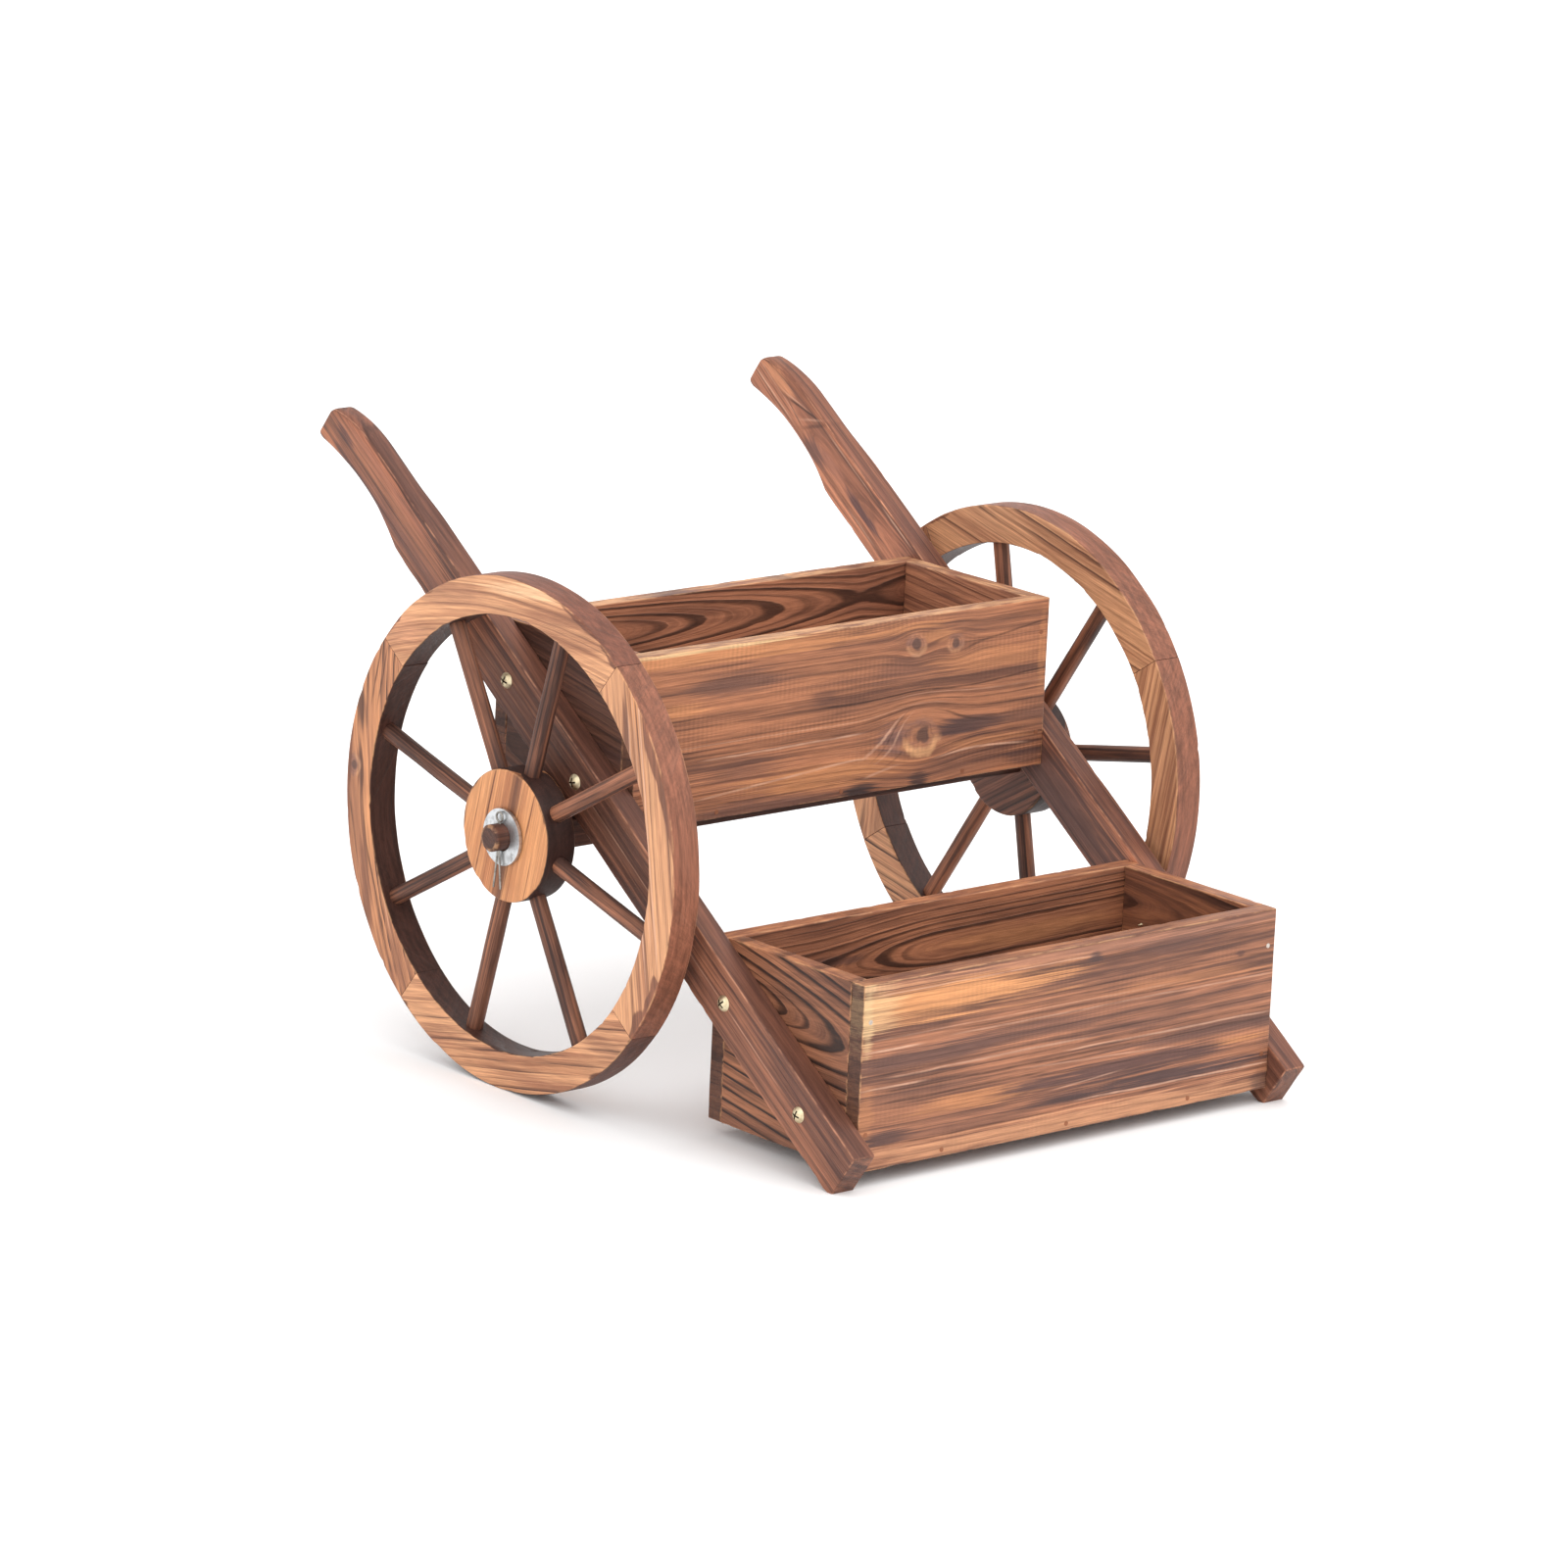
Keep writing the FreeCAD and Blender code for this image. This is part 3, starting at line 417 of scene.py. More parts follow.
            ends = t.mul(t.ramp01(l0, la - 12, la + 12), t.ramp01(l0, lb + 12, lb - 12))
            m1 = t.mul(t.mul(m1, ends), t.ramp01(n_mot, 0.28, 0.56, 0.45, 1.0))
            col = t.mix(t.mul(m1, abs(amount), clamp=True), col, dark if amount > 0 else lin((216, 166, 138)))
    streak = t.mad(t.sub(n_fib, 0.5), 0.50 * fibre, 1.0)
    streak = t.mul(streak, t.mad(t.sub(n_grain, 0.5), -0.55 * fibre, 1.0))
    streak = t.mul(streak, t.mad(t.sub(n_thin, 0.5), -0.55 * fibre, 1.0))
    streak = t.mul(streak, t.mad(t.sub(n_fine, 0.5), 0.65 * fibre, 1.0))
    streak = t.mul(streak, t.mad(t.sub(n_mot, 0.5), 0.25, 1.0))
    if chatter:
        cph = t.mad(l0, 2 * math.pi / 4.3, t.mul(t.sub(n_mot, 0.5), 3.0))
        cm = t.ramp01(t.noise(wp, (0.014, 0.035, 0.035), seed + 47, 2.0), 0.46, 0.64)
        streak = t.mul(streak, t.mad(t.mul(t.m("SINE", cph), cm), chatter, 1.0))
    if knot_mask is not None:
        kc = t.mix(t.ramp01(n_mot, 0.35, 0.65), lin((184, 124, 90)), lin((140, 98, 82)))
        kc = t.mix(t.mul(knot_ring, 0.40), kc, lin((98, 66, 58)))
        kc = t.mix(t.mul(knot_low, 0.85), kc, lin((222, 166, 118)))
        kc = t.mix(t.mul(knot_core, 0.85), kc, lin((84, 62, 57)))
        col = t.mix(t.mul(knot_mask, 0.92), col, kc)

    # faces are brushed light, sawn edges and ends keep the scorch
    face_n = t.m("ABSOLUTE", wn[2])
    if not end:
        # pieces that butt end to end: the ends don't count as sides
        q = t.add(t.mul(wn[1], wn[1]), t.mul(wn[2], wn[2]))
        face_n = t.m("DIVIDE", face_n, t.m("SQRT", t.add(q, 1e-4)))
    face_m = t.ramp01(face_n, 0.62, 0.93)
    end_m = t.ramp01(t.m("ABSOLUTE", wn[0]), 0.62, 0.93)
    side_m = t.mul(t.sub(1.0, face_m), t.sub(1.0, end_m)) if end else t.sub(1.0, face_m)
    if rim_burn:
        # the scorch creeps round the arris on to the face, unevenly
        edge_n = t.noise(wp, (0.016, 0.03, 0.02), seed + 67, 2.0, 0.5)
        reach = t.ramp01(edge_n, rim_low, rim_low + 0.23, 0.0, rim_burn)
        creep = t.mul(t.ramp01(t.add(t.sub(reach, wd), t.mul(t.sub(n_grain, 0.5), 5.0)), -0.3, 1.8), t.ramp01(reach, 0.2, 1.0))
        out_r = t.m("SQRT", t.add(t.mul(l0, l0), t.mul(a0, a0)))
        creep = t.mul(creep, t.ramp01(out_r, creep_from, creep_from + 3.0))
        side_m = t.m("MAXIMUM", side_m, t.mul(creep, 0.9))
    if side:
        rs = t.ramp01(t.noise(wp, (0.010, 0.10, 0.30), seed + 53, 4.0, 0.66), 0.3, 0.7, 0.72, 1.24)
        if inside is None:
            base = tread
        else:
            base = t.mix(t.ramp01(wn[1], -0.25, 0.15), inside, tread)
        sc = t.mix(1.0, t.mix(0.45, col, lin((200, 150, 120))), base, "MULTIPLY")
        sc = t.mix(0.62, sc, base)
        sc = t.mix(1.0, sc, t.xyz(rs, rs, rs), "MULTIPLY")
        col = t.mix(t.mul(side_m, side), col, sc)
    if top is not None:
        # the upper edge of a board, painted lighter where it faces up: a painted highlight
        top_highlight_m = t.ramp01(wn[1], 0.55, 0.9)
        tc = t.mix(t.ramp01(t.add(t.mul(n_mot, 0.5), t.mul(n_fib, 0.5)), 0.40, 0.60), top, MID)
        col = t.mix(t.mul(top_highlight_m, t.mad(late_m, -0.5, 0.8)), col, tc)
    if end:
        ec = t.mix(t.ramp01(n_fine, 0.3, 0.7), lin((60, 42, 37)), lin((86, 58, 48)))
        ec = t.mix(t.mul(lateness, 0.5), ec, BURNT)
        col = t.mix(t.mul(end_m, end), col, ec)
    wear_n = t.ramp01(t.noise(wp, (0.05, 0.12, 0.12), seed + 59, 3.0, 0.6), 0.40, 0.64)
    wear_m = t.mul(t.ramp01(we, 0.35, 0.85), t.mul(wear_n, wear))
    col = t.mix(wear_m, col, wear_col)
    if checks:
        # drying cracks that follow the fibres
        cn = t.noise(wp, (0.008, 0.075, 0.075), seed + 61, 1.0, 0.5)
        cr = t.mul(t.ramp01(t.m("ABSOLUTE", t.sub(cn, 0.5)), 0.016, 0.003), t.ramp01(n_tone, 0.40, 0.5))
        col = t.mix(t.mul(cr, checks), col, BURNT)
    s = t.mul(streak, 0.93 * bright)
    if contrast != 1.0:
        s = t.m("POWER", s, contrast)
    col = t.mix(1.0, col, t.xyz(s, s, s), "MULTIPLY")

    # height: hard late wood stands proud of the brushed early wood
    h = t.mad(late_m, 0.55, t.mul(n_fib, 0.40))
    h = t.add(h, t.mul(n_thin, 0.35))
    h = t.add(h, t.mul(n_fine, 0.30))
    h = t.add(h, t.mul(n_mot, 0.25))
    bp = t.node("ShaderNodeBump")
    bp.inputs["Strength"].default_value = min(1.0, 0.6 * bump)
    bp.inputs["Distance"].default_value = 0.0007
    t.put(bp.inputs["Height"], h)

    ro = t.mad(n_fib, 0.24, rough - 0.12)
    ro = t.mad(late_m, -0.08, ro)
    ro = t.mad(burn_f, 0.10, ro)
    p = t.node("ShaderNodeBsdfPrincipled")
    t.put(p.inputs["Base Color"], col)
    t.put(p.inputs["Roughness"], ro)
    t.put(p.inputs["Normal"], bp.outputs[0])
    p.inputs["Specular IOR Level"].default_value = 0.28
    out = t.node("ShaderNodeOutputMaterial")
    t.t.links.new(p.outputs[0], out.inputs[0])
    return mat


def metal(name, base, spot, seed, rough=0.32, scale=900.0, tarnish=0.5, grime=lin((70, 52, 40)), stained=False,
          recess=None):
    """Plated metal with fine scratches, dull spots, a little dirt and painted shade in the screw recesses."""
    mat = bpy.data.materials.new(name)
    mat.use_nodes = True
    t = Tree(mat)
    co = t.node("ShaderNodeTexCoord").outputs["Object"]
    n1 = t.noise(co, (scale * 0.35,) * 3, seed, 4.0, 0.6)
    n2 = t.noise(co, (scale * 2.4, scale * 0.5, scale * 0.9), seed + 5, 3.0, 0.6)
    n3 = t.noise(co, (scale * 0.12,) * 3, seed + 9, 3.0, 0.6)
    col = t.mix(t.mul(t.ramp01(n1, 0.42, 0.66), tarnish), base, spot)
    col = t.mix(t.mul(t.ramp01(n3, 0.58, 0.74), 0.45), col, grime)
    if recess is not None:
        # painted shade on the floor and the walls of the cross recess in each head
        ax = t.m("ABSOLUTE", t.split(co)[0])
        nx = t.m("ABSOLUTE", t.split(t.node("ShaderNodeNewGeometry").outputs["Normal"])[0])
        floor_m = t.mul(t.ramp01(nx, 0.975, 0.99), t.ramp01(ax, recess + 0.0004, recess + 0.0002))
        wall_m = t.ramp01(nx, 0.25, 0.10)
        recess_shade = t.mul(t.ramp01(ax, recess - 0.0002, recess - 0.0001), t.add(floor_m, wall_m), clamp=True)
        col = t.mix(t.mul(recess_shade, t.ramp01(n1, 0.25, 0.6, 0.80, 1.0)), col, lin((58, 42, 33)))
    if stained:
        # most heads were scorched over with the boards; the lower box's upper ones stayed clean
        z = t.split(co)[2]
        clean = t.mul(t.ramp01(z, 0.100, 0.108), t.ramp01(z, 0.150, 0.142))
        col = t.mix(t.mad(clean, -0.85, 0.97), col, lin((158, 104, 76)))
    p = t.node("ShaderNodeBsdfPrincipled")
    t.put(p.inputs["Base Color"], col)
    p.inputs["Metallic"].default_value = 1.0
    ro = t.mad(n1, 0.30, rough - 0.15)
    ro = t.mad(n2, 0.16, ro)
    t.put(p.inputs["Roughness"], ro)
    bp = t.node("ShaderNodeBump")
    bp.inputs["Strength"].default_value = 0.35
    bp.inputs["Distance"].default_value = 0.0001
    t.put(bp.inputs["Height"], t.add(n2, n1))
    t.put(p.inputs["Normal"], bp.outputs[0])
    out = t.node("ShaderNodeOutputMaterial")
    t.t.links.new(p.outputs[0], out.inputs[0])
    return mat


# ------------------------------------------------------------------- boards
def board(name, origin, eL, eA, eD, size, body, mat, seed, r0=0.9, chip=1.3, often=0.72, pitch=4.0):
    """A plank. origin is the corner from which along, across and depth run."""
    lo, hi = np.zeros(3), np.array(size, float)
    xs = samples(0, hi[0], pitch)
    ys = samples(0, hi[1], pitch)
    zs = samples(0, hi[2], pitch)
    p, q = grid_box(xs, ys, zs)
    out, r = worn(p, lo, hi, r0, seed, chip, often)
    m = np.array([eL, eA, eD], float)
    world = np.array(origin, float) + out @ m
    if np.linalg.det(m) < 0:
        q = q[:, ::-1]
    ob = piece(name + "_wood", world, q, out, edge_distance(p, lo, hi), body, [name], mat)
    set_local_normals(ob, eL, eA, eD)
    return ob


X, Y, Z = (1, 0, 0), (0, 1, 0), (0, 0, 1)
NX, NY = (-1, 0, 0), (0, -1, 0)
UY, LY = AXLE[0] - 74.0, AXLE[0] - 334.0          # front faces of the boxes
UZ, UH, LZ, LH = 201.0, 129.0, 12.0, 137.0

# upper box
PLUMMY = lin((112, 78, 68))
GREYED = lin((84, 62, 60))
AMBER = lin((204, 138, 92))
CREAM = lin((232, 196, 146))
FRONT_EARLY, FRONT_LATE = lin((182, 120, 86)), lin((116, 76, 60))
board("upper_front_board", (-200, UY, UZ), X, Z, Y, (400, UH, 14), "frame",
      wood("fir_upper_front", 4.0, spacing=7.6, pith=(-200, 10), warp=1.6, line=0.30, width=0.22, tone=0.44,
           burn=0.04, chatter=0.07, top=PALE, early=FRONT_EARLY, late=FRONT_LATE, wear=0.6, bright=0.97,
           knots=((268, 108, 9.5, 1.5, 0.35), (307, 104.5, 8.0, 1.5, 0.25), (276, 36.5, 16.5, 1.6, 1.0)),
           patches=((110, 123, 150, 6, -0.75, AMBER), (60, 128, 110, 1.6, -0.8, CREAM), (95, 99, 42, 9, 0.70, PLUMMY),
                    (40, 84, 22, 6, -0.6, AMBER), (178, 79, 12, 6, 0.45), (255, 90, 30, 12, 0.35, PLUMMY),
                    (290, 113, 16, 5, -0.5, AMBER), (345, 90, 50, 9, -0.40, AMBER), (100, 31, 60, 11, 0.50, PLUMMY),
                    (180, 18, 75, 8, -0.75, AMBER), (250, 38, 14, 12, 0.55, lin((126, 96, 92))), (120, 4, 70, 6, 0.7, PLUMMY), (219, 1, 18, 9, 1.0, lin((64, 48, 46))),
                    (277, 1, 10, 10, 0.95, lin((70, 52, 49))), (322, 41, 32, 7, 0.90, GREYED), (372, 42, 40, 5, 0.6, PLUMMY),
                    (330, 9, 60, 9, 0.35, PLUMMY), (385, 8, 20, 9, 0.5, GREYED), (395, 88, 4, 30, -0.5, AMBER),
                    (340, 27, 50, 4, -0.35, AMBER)),
           marks=((20, 113.5, 110, 113.5, 0.9, 0.55), (20, 71, 190, 70.5, 0.8, 0.50), (180, 70.5, 305, 68.5, 0.9, 0.85),
                  (300, 68.5, 400, 75.5, 0.9, 0.75), (30, 60, 260, 58, 0.8, 0.40), (250, 58, 400, 61.5, 0.9, 0.6),
                  (40, 56.5, 300, 55, 0.6, -0.35), (40, 48.5, 230, 48, 0.9, 0.55), (225, 52.5, 400, 53.5, 0.8, 0.55),
                  (70, 45, 215, 46, 0.9, -0.75), (250, 65.5, 400, 66.5, 0.6, -0.35), (62, 16, 220, 28, 0.9, -0.70),
                  (60, 10.5, 250, 11, 0.7, 0.6), (226, 14, 250, 23, 1.2, -0.65), (224, 30, 254, 46, 1.3, -0.70),
                  (232, 28, 262, 50, 0.9, 0.45), (238, 28, 262, 44, 1.0, -0.55), (244, 24, 262, 36, 0.9, 0.4), (296, 26.5, 380, 20, 0.9, -0.75),
                  (322, 102, 400, 113, 0.9, 0.60), (300, 119, 400, 121, 0.7, 0.35), (90, 110, 300, 107, 0.7, 0.25),
                  (292, 48, 350, 41, 0.9, 0.6), (340, 44.5, 400, 45.5, 0.8, 0.6))),
      101)
board("upper_back_board", (-200, UY + 162, UZ), X, Z, NY, (400, UH, 14), "frame",
      wood("fir_upper_back", 8.0, spacing=60.0, pith=(106.5, 1), jit=0.0, warp=0.8, line=0.85, width=0.05, weak=0.0,
           depth=lambda t, l: t.mad(t.m("SQRT", t.mad(t.sub(l, 343.0), t.sub(l, 343.0), 110.0)), -0.075, 27.2),
           rings=((12.4, 0.4, 0.6), (15.2, 0.68, 1.0), (17.6, 0.29, 0.4), (20.9, 0.86, 1.0), (23.4, 0.29, 0.35),
                  (26.3, 0.72, 1.0), (28.6, 0.43, 0.6), (31.2, 0.65, 0.9), (35.0, 0.58, 0.8), (39.5, 0.58, 0.7),
                  (44.5, 0.65, 0.8), (50.0, 0.58, 0.7), (56.5, 0.65, 0.8), (64.0, 0.58, 0.7), (72.0, 0.65, 0.8),
                  (80.0, 0.65, 0.8), (89.0, 0.65, 0.8), (98.0, 0.65, 0.8), (8.6, 0.5, 0.8)),
           tone=0.40, burn=0.20, top=PALE, early=lin((186, 122, 90)), late=lin((124, 80, 62)), dark=lin((58, 38, 32)),
           grain=0.9), 102)
# painted shade: this end board is coloured much darker than the right end, where it lies behind the near wheel
board("upper_left_end", (-200, UY + 148, UZ), NY, Z, X, (134, UH, 14), "frame",
      wood("fir_upper_left", 12.0, spacing=6.5, pith=(40, 20), slope=-0.10, tilt=-0.2, warp=4, line=1.1, width=0.45,
           tone=0.8, burn=0.6, top=LIGHT, early=lin((112, 73, 56)), late=lin((78, 51, 42))), 103)
board("upper_right_end", (200, UY + 148, UZ), NY, Z, NX, (134, UH, 14), "frame",
      wood("fir_upper_right", 15.0, spacing=5.2, pith=(-40, 30), slope=0.03, tilt=-0.1, warp=3, line=0.55, width=0.30,
           tone=0.45, burn=0.30, top=PALE, early=lin((190, 128, 96)), late=lin((124, 80, 64))), 104)
# painted shade: the floor board is coloured darker than the walls, for the inside of the box
board("upper_bottom_board", (-186, UY + 14, UZ), X, Y, Z, (372, 134, 10), "frame",
      wood("fir_upper_floor", 19.0, spacing=7.0, pith=(60, 40), warp=4, line=0.9, tone=0.7, burn=0.5,
           early=lin((150, 96, 68)), late=lin((108, 70, 54))), 105)

# lower box
board("lower_front_board", (-200, LY, LZ), X, Z, Y, (400, LH, 14), "frame",
      wood("fir_lower_front", 23.0, spacing=7.2, pith=(-200, 10, 190), bow=-0.00005, warp=1.2, line=0.28,
           width=0.24, tone=0.52, burn=0.04, top=LIGHT, early=lin((174, 116, 86)), late=lin((108, 72, 59)), wear=0.6,
           bright=0.93, chatter=0.03,
           patches=((85, 118, 105, 13, -0.95, lin((222, 154, 102))), (14, 117, 22, 15, -0.70, lin((226, 180, 132))), (4, 112, 6, 26, -0.6, CREAM),
                    (200, 132, 220, 3.5, -0.4, lin((178, 128, 106))), (221, 127, 8, 4, 0.85, GREYED),
                    (303, 125, 32, 6, 0.65, PLUMMY), (220, 112, 60, 8, 0.22, PLUMMY), (366, 107.5, 4, 2.5, 0.7),
                    (78, 77, 76, 8.5, 0.95, PLUMMY), (170, 80, 80, 7, 0.55, PLUMMY), (60, 52, 60, 5, 0.4, PLUMMY),
                    (108, 38, 54, 6.5, -0.70, AMBER), (245, 39.5, 105, 8.5, 0.95, lin((100, 70, 64))),
                    (325, 53, 95, 6, 0.75, PLUMMY), (290, 26, 125, 6, 0.95, GREYED), (29, 22, 22, 6, 0.85, GREYED),
                    (110, 20, 70, 4.5, 0.45, PLUMMY), (100, 26.5, 60, 3, 0.3, PLUMMY), (200, 6.5, 215, 8, -0.85, lin((206, 148, 110))),
                    (393, 6, 10, 10, 0.6, GREYED), (368, 42, 30, 2.6, -0.75, AMBER), (300, 71, 110, 6, 0.50, PLUMMY), (280, 83, 120, 6, 0.3, PLUMMY),
                    (320, 97, 90, 4, -0.3, AMBER), (6, 40, 8, 20, -0.4, AMBER)),
           marks=((20, 105.7, 400, 104.5, 0.8, 0.50), (60, 98.5, 400, 98, 0.6, 0.30), (85, 92.3, 400, 92, 0.9, 0.65),
                  (90, 89, 400, 88.5, 0.8, -0.45), (8, 87, 52, 87, 0.9, -0.95), (10, 95.2, 300, 95, 0.6, -0.30),
                  (10, 69, 400, 71, 0.8, 0.55), (30, 66.2, 215, 66.6, 0.9, -0.55), (20, 62.3, 400, 64, 0.7, 0.55),
                  (3, 59.4, 58, 59.6, 0.9, -0.70), (200, 60, 400, 59.5, 0.9, -0.60), (20, 56, 400, 55.5, 0.9, 0.65),
                  (25, 48, 175, 47.6, 0.9, 0.65), (160, 53, 300, 47, 0.8, -0.35), (165, 45, 345, 41.5, 0.7, 0.6),
                  (190, 33, 250, 37, 0.7, -0.45), (215, 20.8, 400, 20.2, 0.8, -0.80), (20, 16.2, 190, 16.6, 0.9, 0.6),
                  (190, 17.4, 400, 17.6, 0.8, 0.55), (10, 127.5, 215, 127.8, 0.6, -0.6), (230, 10, 395, 3, 0.7, 0.4),
                  (20, 6, 390, 8, 0.6, 0.30), (10, 75.5, 160, 75.8, 0.6, 0.5), (120, 80.5, 330, 80, 0.6, 0.35))),
      111, often=0.68)
board("lower_back_board", (-200, LY + 162, LZ), X, Z, NY, (400, LH, 14), "frame",
      wood("fir_lower_back", 27.0, spacing=60.0, pith=(98.5, 24), jit=0.0, warp=0.8, line=0.85, width=0.05, weak=0.0,
           tilt=0.012, depth=lambda t, l: t.ramp01(l, 80.0, 214.0, 24.0, 15.4),
           rings=((19.6, 0.75, 1.0), (17.6, 0.3, 0.4), (21.6, 0.3, 0.5), (24.3, 0.68, 0.9), (28.0, 0.68, 0.9),
                  (30.0, 0.3, 0.4), (33.5, 0.6, 0.7), (39.0, 0.45, 0.5), (43.0, 0.52, 0.6), (50.0, 0.6, 0.7),
                  (57.0, 0.6, 0.7), (66.0, 0.68, 0.8), (75.0, 0.68, 0.8), (84.0, 0.6, 0.7), (93.0, 0.68, 0.8)),
           tone=0.42, burn=0.26, top=LIGHT, early=lin((178, 116, 84)), late=lin((120, 77, 59)), dark=lin((52, 34, 29)),
           grain=0.9, patches=((105, 104, 26, 3.5, 0.6, GREYED), (300, 101, 90, 8, -0.45, AMBER))), 112)
board("lower_left_end", (-200, LY + 148, LZ), NY, Z, X, (134, LH, 14), "frame",
      wood("fir_lower_left", 31.0, spacing=60.0, pith=(110, 2), jit=0.0, tilt=-0.17, warp=1.6, line=0.95, width=0.05,
           weak=0.0, depth=lambda t, l: t.mad(l, 0.16, 1.0),
           rings=((11.0, 0.8, 0.9), (15.0, 0.48, 0.7), (20.5, 1.36, 1.0), (29.0, 1.2, 1.0), (33.0, 0.4, 0.5),
                  (38.0, 1.12, 1.0), (46.5, 1.04, 1.0), (50.0, 0.4, 0.5), (55.0, 1.12, 1.0), (64.0, 1.04, 1.0),
                  (73.0, 1.12, 1.0), (82.0, 1.04, 1.0), (91.0, 1.12, 1.0), (100.0, 1.04, 1.0)),
           tone=0.46, burn=0.36, top=LIGHT, early=lin((166, 110, 80)), late=lin((104, 68, 54)), dark=lin((42, 29, 26)), bright=0.97), 113)
board("lower_right_end", (200, LY + 148, LZ), NY, Z, NX, (134, LH, 14), "frame",
      wood("fir_lower_right", 35.0, spacing=6.4, pith=(110, 12), slope=0.05, warp=3, line=1.0, width=0.30,
           tone=0.5, burn=0.4, top=LIGHT, early=lin((168, 108, 76)), late=lin((112, 72, 56)), dark=lin((50, 32, 27))), 114)
# painted shade: the floor board is coloured darker than the walls, for the inside of the box
board("lower_bottom_board", (-186, LY + 14, LZ), X, Y, Z, (372, 134, 10), "frame",
      wood("fir_lower_floor", 39.0, spacing=7.0, pith=(80, 40), warp=4, line=0.9, tone=0.7, burn=0.5,
           early=lin((150, 96, 68)), late=lin((108, 70, 54))), 115)


# -------------------------------------------------------------------- rails
def rail(name, x0, seed, mat):
    """One plank: the foot with its level flat, and the shaped handle."""
    lo, hi = np.zeros(3), np.array((753.0, 42.0, 20.0))
    us = np.unique(np.concatenate([samples(0, 753, 5.0), np.arange(640, 753, 2.0)]))
    us = us[np.concatenate([[True], np.diff(us) > 0.15])]
    us[-1] = 753.0
    p, q = grid_box(us, samples(0, 42, 3.0, EDGE + (6.0, 8.0)), samples(0, 20, 3.0, EDGE + (6.0,)))
    grip = step(p[:, 0], 615, 668)
    r = 1.1 * (0.7 + 0.7 * vnoise(p / 30.0, seed)) + 1.2 * step(vnoise(p / 9.0, seed + 1), 0.74, 0.9)
    r = r * (1 - grip) + grip * (5.2 + 1.2 * vnoise(p / 24.0, seed + 2))
    # the handle end is cut square, with softer corners than the sawn foot
    ru = np.where(p[:, 0] > 376, 2.6, 1.0)
    rr = np.stack([ru, r, r], 1)
    rr = np.minimum(rr, 0.46 * (hi - lo)[None, :])
    c = np.clip(p, lo + rr, hi - rr)
    d = p - c
    length = np.linalg.norm(d / rr, axis=1, keepdims=True)
    o = c + d / np.maximum(length, 1e-9)
    u, v = o[:, 0], o[:, 1]
    ds = np.abs(u - 690)
    low = np.where(ds < 56.0, -192 + np.sqrt(np.maximum(200.0 ** 2 - ds ** 2, 0)), 0.0)
    low = np.maximum(low, 0)
    up = np.where(u > 696, -81 + np.sqrt(np.maximum(123.0 ** 2 - (u - 696) ** 2, 0)), 42.0)
    # softer shoulders where the scoop runs out, and rounded corners at the end
    endr = 5.0
    e = np.clip((u - (753 - endr)) / endr, 0, 1)
    pull = endr * (1 - np.sqrt(np.maximum(1 - e ** 2, 0)))
    v2 = (low + pull) + v / 42.0 * ((up - pull) - (low + pull))
    # level flat under the foot
    foot = FOOT_B * np.clip(1 - u / FOOT_A, 0, 1)
    v2 = np.maximum(v2, foot + 0 * v2)
    w = o[:, 2]
    # grips are dressed by hand: gentle flats and dips
    wob = grip * 0.8 * (vnoise(np.stack([u / 26, v / 22, w / 22], 1), seed + 5) - 0.5)
    w = w + wob * np.where(w > 10, -1, 1) * (np.abs(w - 10) / 10)
    local = np.stack([u, v2, w], 1)
    eL, eA, eD = (0, math.cos(TH), math.sin(TH)), (0, -math.sin(TH), math.cos(TH)), X
    m = np.array([eL, eA, eD], float)
    world = np.array((x0, FOOT_Y, FOOT_Z)) + local @ m
    if np.linalg.det(m) < 0:
        q = q[:, ::-1]
    ob = piece(name + "_wood", world, q, local, edge_distance(p, lo, hi), "frame", [name], mat)
    set_local_normals(ob, eL, eA, eD)
    return ob


# painted shade: the left rail's colours are darker than the right rail's, and its broad dark patch 380 mm along, across
# the whole width, darkens the part seen behind the near wheel
rail("left_rail", -220.0, 201,
     wood("fir_left_rail", 43.0, spacing=9.0, pith=(-60, 24), slope=0.010, warp=2.6, line=0.45, width=0.30, rare=0.4, grain=0.7,
          tone=0.50, early=lin((160, 104, 78)), late=lin((92, 60, 51)), burn=0.34, burn_col=lin((72, 48, 42)), side=0.62,
          end=0.3, wear=0.7, wear_col=lin((190, 134, 104)), contrast=1.35,
          marks=((560, 38, 745, 40.5, 0.7, 0.6), (575, 30, 740, 31, 0.6, 0.45), (600, 21, 750, 20, 0.7, 0.5),
                 (20, 12, 300, 16, 0.7, 0.5), (60, 26, 420, 29, 0.8, 0.55), (150, 34, 500, 36, 0.7, 0.5), (90, 20, 360, 22, 0.6, -0.35)),
          patches=((680, 35, 100, 5, -0.60, lin((178, 112, 84))), (640, 12, 90, 8, 0.45, lin((104, 72, 66))),
                   (728, 23, 12, 5, 0.65, lin((88, 62, 62))), (738, 8, 16, 6, -0.65, lin((182, 118, 86))),
                   (380, 20, 150, 34, 0.72, lin((84, 54, 44))),
                   (90, 20, 90, 16, -0.20, lin((150, 98, 76))))))
